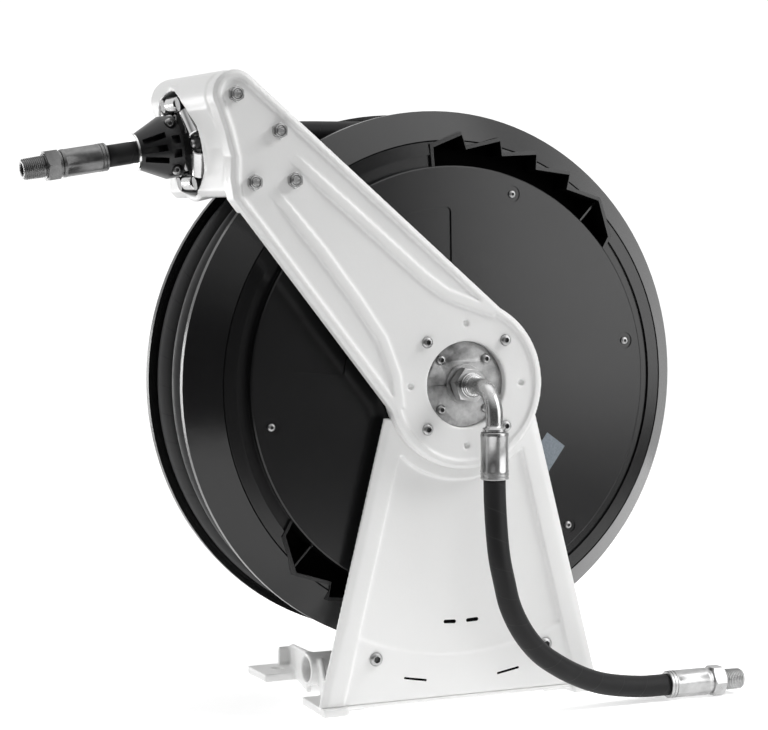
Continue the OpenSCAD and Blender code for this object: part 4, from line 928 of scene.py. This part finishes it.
raw_cast = metal_material("raw_casting", (0.18, 0.18, 0.18), (0.52, 0.52, 0.52), 120.0, 0.34,
                          0.55, 0.25)
disc = rounded_moulding("spindle_flange", 0.0003, "stand", raw_cast)
parting_line, notch = (0.026, 0.0005, 0.0008, 0.030), (0.004, 0.002, 0.0018, 0.0175)
for length, width, depth, from_axis in (parting_line, notch):
    deselect()
    bpy.ops.mesh.primitive_cube_add(size=1.0)
    line_tool = bpy.context.active_object
    line_tool.matrix_world = (reel_at(0.0, 0.0, disc_face, 181.0)
                              @ Matrix.Translation((from_axis, 0.0, 0.0))
                              @ Matrix.Diagonal((length, width, 2 * depth, 1.0)))
    cut(disc, line_tool)

# ---------------------------------------------------------------- inlet nut and elbow
# A union nut holds a bent, brushed steel elbow to the spindle. The elbow has a collar at
# either end, and the crimped ferrule of the inlet hose under it.

satin_steel = metal_material("satin_steel", (0.46, 0.46, 0.46), (0.60, 0.60, 0.60), 300.0, 0.22,
                             0.32, 0.04)
inlet_nut = turned_piece("inlet_nut_hexagon", [(0.01732, 0.0), (0.01732, 0.0125)], 6)
cut(inlet_nut, turned_piece("inlet_nut_ends", [(0.0149, 0.0), (0.0174, 0.0015), (0.0174, 0.0107),
                                               (0.0149, 0.0125)]), "INTERSECT")
fit_on(put([inlet_nut], "inlet_nut_chamfered", [reel_at(0.0, 0.0, 0.119, -10.0)]), "inlet_nut",
       "stand", plated)
elbow_out, elbow_r, elbow_bend, elbow_reach, elbow_drop = 0.1315, 0.008, 0.026, 0.021, 0.010
deselect()
bpy.ops.mesh.primitive_circle_add(vertices=48, radius=elbow_r, fill_type="NGON",
                                  location=(0.0, drum_y - elbow_out, axis_z),
                                  rotation=(math.radians(90), 0.0, 0.0))
elbow = bpy.context.active_object
bpy.ops.object.transform_apply()
bpy.ops.object.mode_set(mode="EDIT")
bpy.ops.mesh.select_all(action="SELECT")
bpy.ops.mesh.extrude_region_move(TRANSFORM_OT_translate={"value": (0.0, -elbow_reach, 0.0)})
bpy.ops.mesh.spin(steps=24, angle=math.radians(-90), axis=(1.0, 0.0, 0.0),
                  center=(0.0, drum_y - elbow_out - elbow_reach, axis_z - elbow_bend))
bpy.ops.mesh.extrude_region_move(TRANSFORM_OT_translate={"value": (0.0, 0.0, -elbow_drop)})
bpy.ops.mesh.select_all(action="SELECT")
bpy.ops.mesh.remove_doubles(threshold=same_point)
bpy.ops.mesh.normals_make_consistent(inside=False)
bpy.ops.object.mode_set(mode="OBJECT")
bpy.ops.object.shade_smooth_by_angle(angle=math.radians(30))
nose = turned_piece("nose", [
    (0.0118, 0.0), (0.0120, 0.0003), (0.0120, 0.0022), (0.0113, 0.0030), (0.0100, 0.0031),
    (0.0096, 0.0036), (0.0098, 0.0042), (0.0098, 0.0066), (0.0090, 0.0075), (0.0079, 0.0078)])
foot_collar = turned_piece("foot_collar", [
    (0.0100, 0.0), (0.0110, 0.0006), (0.0110, 0.0030), (0.0103, 0.0038), (0.0090, 0.0041),
    (0.0083, 0.0048), (0.0079, 0.0060)])
elbow_parts = [put([elbow], "elbow_tube", [Matrix()]),
               put([nose], "elbow_nose", [reel_at(0.0, 0.0, elbow_out)]),
               put([foot_collar], "elbow_foot", [Matrix.Translation((0.0, -0.1895, 0.267))])]
deselect()
for part in elbow_parts:
    part.select_set(True)
bpy.context.view_layer.objects.active = elbow_parts[0]
bpy.ops.object.join()
fit_on(elbow_parts[0], "inlet_elbow", "stand", satin_steel)
fit_on(put([ferrule], "elbow_ferrule_crimped", [Matrix.Translation(inlet_stops[0])]),
       "elbow_ferrule", "stand", plated)

# ---------------------------------------------------------------- outlet end and hose stop
# The long hose ends in the same crimped ferrule and fitting as the inlet, in darker steel. A
# bright washer lies in the stop, whose two halves are held by two small screws.

outlet_frame = (reel_frame @ Matrix.Translation((outlet_at.x, outlet_at.y, 0.0))
                @ Matrix.Rotation(slope, 4, "Z") @ Matrix.Rotation(math.radians(-90), 4, "Y"))
outlet_steel = metal_material("outlet_steel", (0.12, 0.12, 0.12), (0.24, 0.24, 0.24), 700.0, 0.34,
                              0.46, 0.08)
fit_on(put([ferrule], "outlet_ferrule_crimped", [
    outlet_frame @ Matrix.Translation((0.0, 0.0, lead_end))]), "outlet_ferrule", "stand",
    outlet_steel)
fit_on(put([fitting_core, hexagon, thread], "outlet_fitting_threaded", [
    outlet_frame @ Matrix.Translation((0.0, 0.0, lead_end + ferrule_l))]), "outlet_fitting",
    "stand", outlet_steel)
polished = metal_material("polished_steel", (0.55, 0.55, 0.55), (0.70, 0.70, 0.70), 300.0, 0.10,
                          0.2, 0.04)
fit_on(put([turned_piece("washer", [
    (0.0106, 0.045), (0.0171, 0.045), (0.0175, 0.0454), (0.0175, 0.0471), (0.0171, 0.0475),
    (0.0106, 0.0475)])], "stop_washer_turned", [outlet_frame]), "hose_stop_washer", "stand",
    polished)
fit_on(put([socket_screw(0.0025, 0.0046, 0.003, 0.0375)], "stop_screws_button", [
    outlet_frame @ Matrix.Translation((0.0, y, 0.014)) @ Matrix.Rotation(math.radians(90), 4, "Y")
    @ Matrix.Translation((0.0, 0.0, 0.0165)) for y in (-0.022, 0.022)]), "hose_stop_screws",
    "stand", None)

# ---------------------------------------------------------------- rollers
# Six chromed tubes with chamfered ends stand round the hose, each free on its own pin.

roller_ring, roller_half = 0.0375, 0.0135
guide_frame = (reel_frame @ Matrix.Translation((guide_x, guide_y, 0.0015))
               @ Matrix.Rotation(math.radians(12), 4, "Z"))
roller = turned_piece("roller", [
    (0.0030, 0.0), (0.0066, 0.0), (0.0075, 0.0009), (0.0075, 0.0261), (0.0066, 0.0270),
    (0.0030, 0.0270), (0.0027, 0.0262)])
for k, node in enumerate(("roller_top", "roller_front_upper", "roller_front_lower",
                          "roller_bottom", "roller_rear_lower", "roller_rear_upper")):
    fit_on(put([roller], node + "_chromed", [
        guide_frame @ Matrix.Rotation(math.radians(60 * k), 4, "X")
        @ Matrix.Translation((0.0, roller_ring, -roller_half))]), node, node, polished)

# ---------------------------------------------------------------- steel that keeps its solids
# The spindle and all that lies on it, the swivel and the power spring are inside the reel.
# The pawl group is behind the upright, and the small pins, nuts and screws are plain.

blued = metal_material("blued_spring", (0.09, 0.10, 0.13), (0.16, 0.17, 0.2), 400.0, 0.25, 0.4,
                       0.1)
for finish, names in (
        (plated, ("swivel_housing", "swivel_pipe", "spindle_washer", "spindle_nut",
                  "inlet_adapter")),
        (screw_steel, ("guide_screws", "hose_stop_nuts", "tie_screws", "pawl_pin", "pawl",
                       "spindle", "spring_arbor", "guide_pins")),
        (raw_cast, ("bush_front", "bush_rear")),
        (blued, ("pawl_spring", "power_spring"))):
    for node in names:
        nodes[node].data.materials.clear()
        nodes[node].data.materials.append(finish)

# The patterns that were copied into place are no part of the reel
patterns = [ferrule, fitting_core, hexagon, thread, nut, collar, stud, inlet_nut, elbow, nose,
            foot_collar, roller]
patterns += [piece for piece in bpy.data.objects
             if piece.name.split(".")[0] in ("screw", "washer")]
for pattern in patterns:
    bpy.data.objects.remove(pattern)

# ---------------------------------------------------------------- cover label
# A plain grey-blue film on the drum cover, left bare.

label_film = moulding_material("label_film", (0.16, 0.19, 0.22), (0.22, 0.25, 0.28), 500.0, 0.3,
                               0.38, 0.02)
nodes["cover_label"].data.materials.clear()
nodes["cover_label"].data.materials.append(label_film)

# ---------------------------------------------------------------- last update

bpy.context.view_layer.update()
